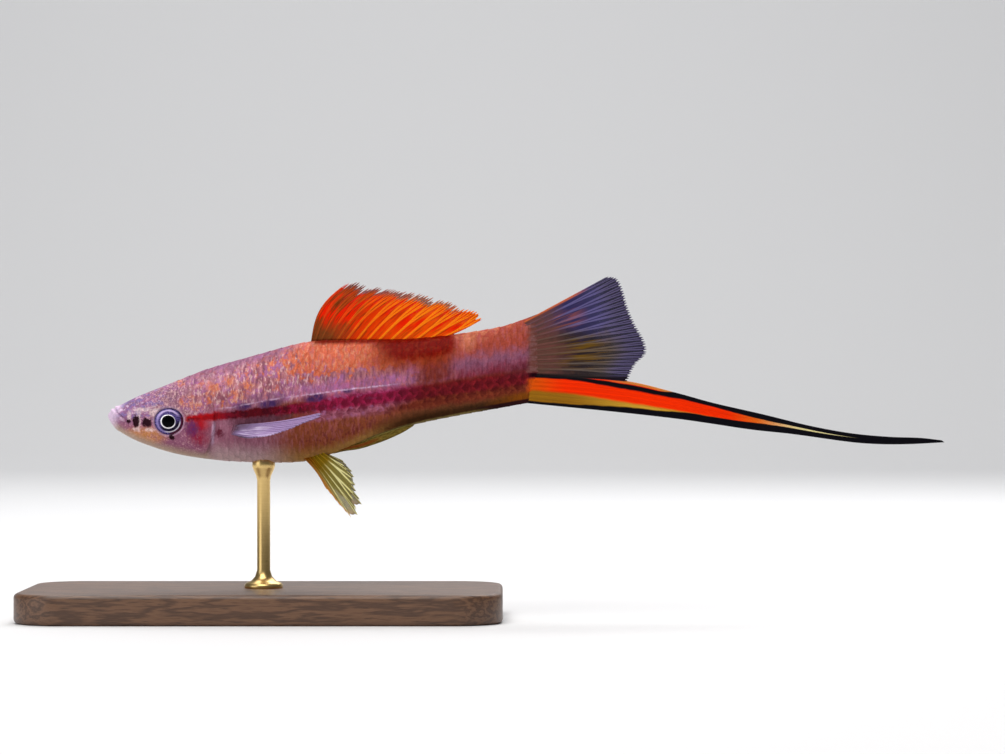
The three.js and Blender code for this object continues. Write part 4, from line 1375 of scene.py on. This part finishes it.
# Stand
standForm = {
    "length": 80.0,
    "width": 42.0,
    "height": 5.0,
    "corner": 8.0,
    "edge": 0.8,
    "rod": 1.1,
    "foot": 3.2,
    "saddle": 1.9,
    "flatArea": 2e-5,  # faces larger than this many square metres stay flat
}


def fromBase(spot):
    return spot * 0.001


def walnutPaint():
    p = Paint("walnut", Coat_Weight=0.25, Coat_Roughness=0.25)
    x, y, z = p.split(p.millimetres())
    flow = p.join(x * 0.035, y * 0.32, z * 0.32)
    rings = p.noise(flow, 1.3, 4.0, 0.6)
    pores = p.noise(p.join(x * 0.25, y * 4.0, z * 4.0), 1.2, 3.0, 0.7)
    colour = p.lay(
        (0.07, 0.03, 0.014),
        (p.math("SINE", rings * 42.0) * 0.5 + 0.5, (0.15, 0.07, 0.033)),
        (p.step(pores, 0.56, 0.7) * 0.7, (0.03, 0.013, 0.007)),
    )
    colour = p.shaded(colour, 0.8 + 0.4 * p.noise(flow, 0.5))
    return p.drive(Base_Color=colour, Roughness=0.42 + 0.2 * pores, Normal=p.bump(pores, 80, 0.35))


def brassPaint():
    p = Paint("satinBrass", Metallic=1.0)
    x, y, z = p.split(p.millimetres())
    brushed = p.noise(p.join(x * 0.6, y * 0.6, z * 9.0), 1.0, 3.0)
    colour = p.blend(brushed, (0.62, 0.42, 0.15), (0.78, 0.56, 0.24))
    return p.drive(Base_Color=colour, Roughness=0.24 + 0.14 * brushed)


def buildBase():
    f = standForm
    bm = bmesh.new()
    bmesh.ops.create_cube(bm, size=1)
    bmesh.ops.scale(bm, vec=(f["length"], f["width"], f["height"]), verts=bm.verts[:])
    bmesh.ops.translate(bm, vec=(0, 0, f["height"] / 2), verts=bm.verts[:])
    rounds = {"affect": "EDGES", "profile": 0.5, "material": -1}
    upright = [e for e in bm.edges if abs(e.verts[0].co.z - e.verts[1].co.z) > 1]
    bmesh.ops.bevel(bm, geom=upright, offset=f["corner"], segments=14, **rounds)
    rims = [e for e in bm.edges if abs(e.verts[0].co.z - e.verts[1].co.z) < 0.01]
    bmesh.ops.bevel(bm, geom=rims, offset=f["edge"], segments=4, **rounds)
    base = linkMesh("walnutBase", bm, walnutPaint(), fromBase, shade=False)
    for polygon in base.data.polygons:
        polygon.use_smooth = polygon.area < f["flatArea"]
    finishPiece(base, "base_wood", "stand_base")


def buildRod():
    f = standForm
    floor = f["height"]
    top = stance["snoutHeight"] + underAt(stance["rodStation"], 0)
    profile = [
        (0, floor - 0.2), (f["foot"], floor - 0.2), (f["foot"], floor + 0.55),
        (f["foot"] - 0.25, floor + 0.85),
        (f["rod"] + 1.0, floor + 1.2), (f["rod"] + 0.35, floor + 1.9), (f["rod"], floor + 3.0),
        (f["rod"], top - 3.0), (f["rod"] + 0.15, top - 2.2), (f["saddle"] - 0.1, top - 1.0),
        (f["saddle"], top - 0.6), (f["saddle"], top + 0.5), (f["saddle"] - 0.3, top + 0.75), (0, top + 0.75),
    ]
    bm = bmesh.new()
    corners = [bm.verts.new((r, 0, z)) for r, z in profile]
    geom = corners + [bm.edges.new(pair) for pair in zip(corners, corners[1:])]
    bmesh.ops.spin(bm, geom=geom, cent=(0, 0, 0), axis=(0, 0, 1), angle=math.tau, steps=64, use_merge=True)
    bmesh.ops.remove_doubles(bm, verts=bm.verts[:], dist=1e-4)
    finishPiece(linkMesh("brassRod", bm, brassPaint(), fromBase), "rod_brass", "stand_rod")


buildBase()
buildRod()


# Studio: pale sweep, soft lights, camera
studio = {
    "floorTone": (0.74, 0.74, 0.75),
    "sweepFrom": 0.95,  # where the floor starts to curve up, behind any camera that circles the model
    "sweepCurve": 1.4,
    "stageHalf": 2.4,
    "framePixels": (1005, 754),
    "frameWidth": 0.1681,  # what the frame spans at the fish, in metres
    "target": (0.03995, 0.0, 0.04027),
    "distance": 0.6,
    "sensor": 36.0,
}


def buildStage():
    bm = bmesh.new()
    bmesh.ops.create_grid(bm, x_segments=8, y_segments=90, size=studio["stageHalf"])
    for vert in bm.verts:
        vert.co.z = studio["sweepCurve"] * max(vert.co.y - studio["sweepFrom"], 0) ** 2
    paint = Paint("paleSweep", Roughness=0.9, Base_Color=studio["floorTone"])
    linkMesh("paleSweep", bm, paint.material, Vector)


def addLight(name, place, size, power, tone=(1, 1, 1), aim=studio["target"]):
    light = bpy.data.lights.new(name, "AREA")
    light.energy, light.size, light.color = power, size, tone
    lamp = bpy.data.objects.new(name, light)
    bpy.context.collection.objects.link(lamp)
    lamp.location = place
    lamp.rotation_euler = (Vector(aim) - Vector(place)).to_track_quat("-Z", "Y").to_euler()


def addCamera():
    camera = bpy.data.cameras.new("camera")
    camera.sensor_width = studio["sensor"]
    camera.lens = studio["sensor"] * studio["distance"] / studio["frameWidth"]
    holder = bpy.data.objects.new("camera", camera)
    bpy.context.collection.objects.link(holder)
    x, y, z = studio["target"]
    holder.location = (x, y - studio["distance"], z)
    holder.rotation_euler = (math.radians(90), 0, 0)
    camera.clip_start = 0.01
    bpy.context.scene.camera = holder


buildStage()
addCamera()
addLight("key", (-0.1, -0.4, 0.75), 0.7, 6.0, (1.0, 0.98, 0.95))
addLight("fill", (-0.6, -0.4, 0.12), 0.5, 1.2, (0.95, 0.97, 1.0))
addLight("rim", (0.25, 0.45, 0.5), 0.4, 1.5)
addLight("top", (0.0, 0.3, 0.9), 0.6, 3.0)
addLight("backdrop", (0.0, 0.75, 1.1), 0.9, 7.0, aim=(0.0, 1.2, 0.0))
world = bpy.data.worlds.new("studioAir")
world.use_nodes = True
air = world.node_tree.nodes["Background"]
air.inputs["Color"].default_value = (0.8, 0.82, 0.85, 1)
air.inputs["Strength"].default_value = 0.16
bpy.context.scene.world = world
bpy.context.scene.view_settings.view_transform = "Standard"
print("studio ready")
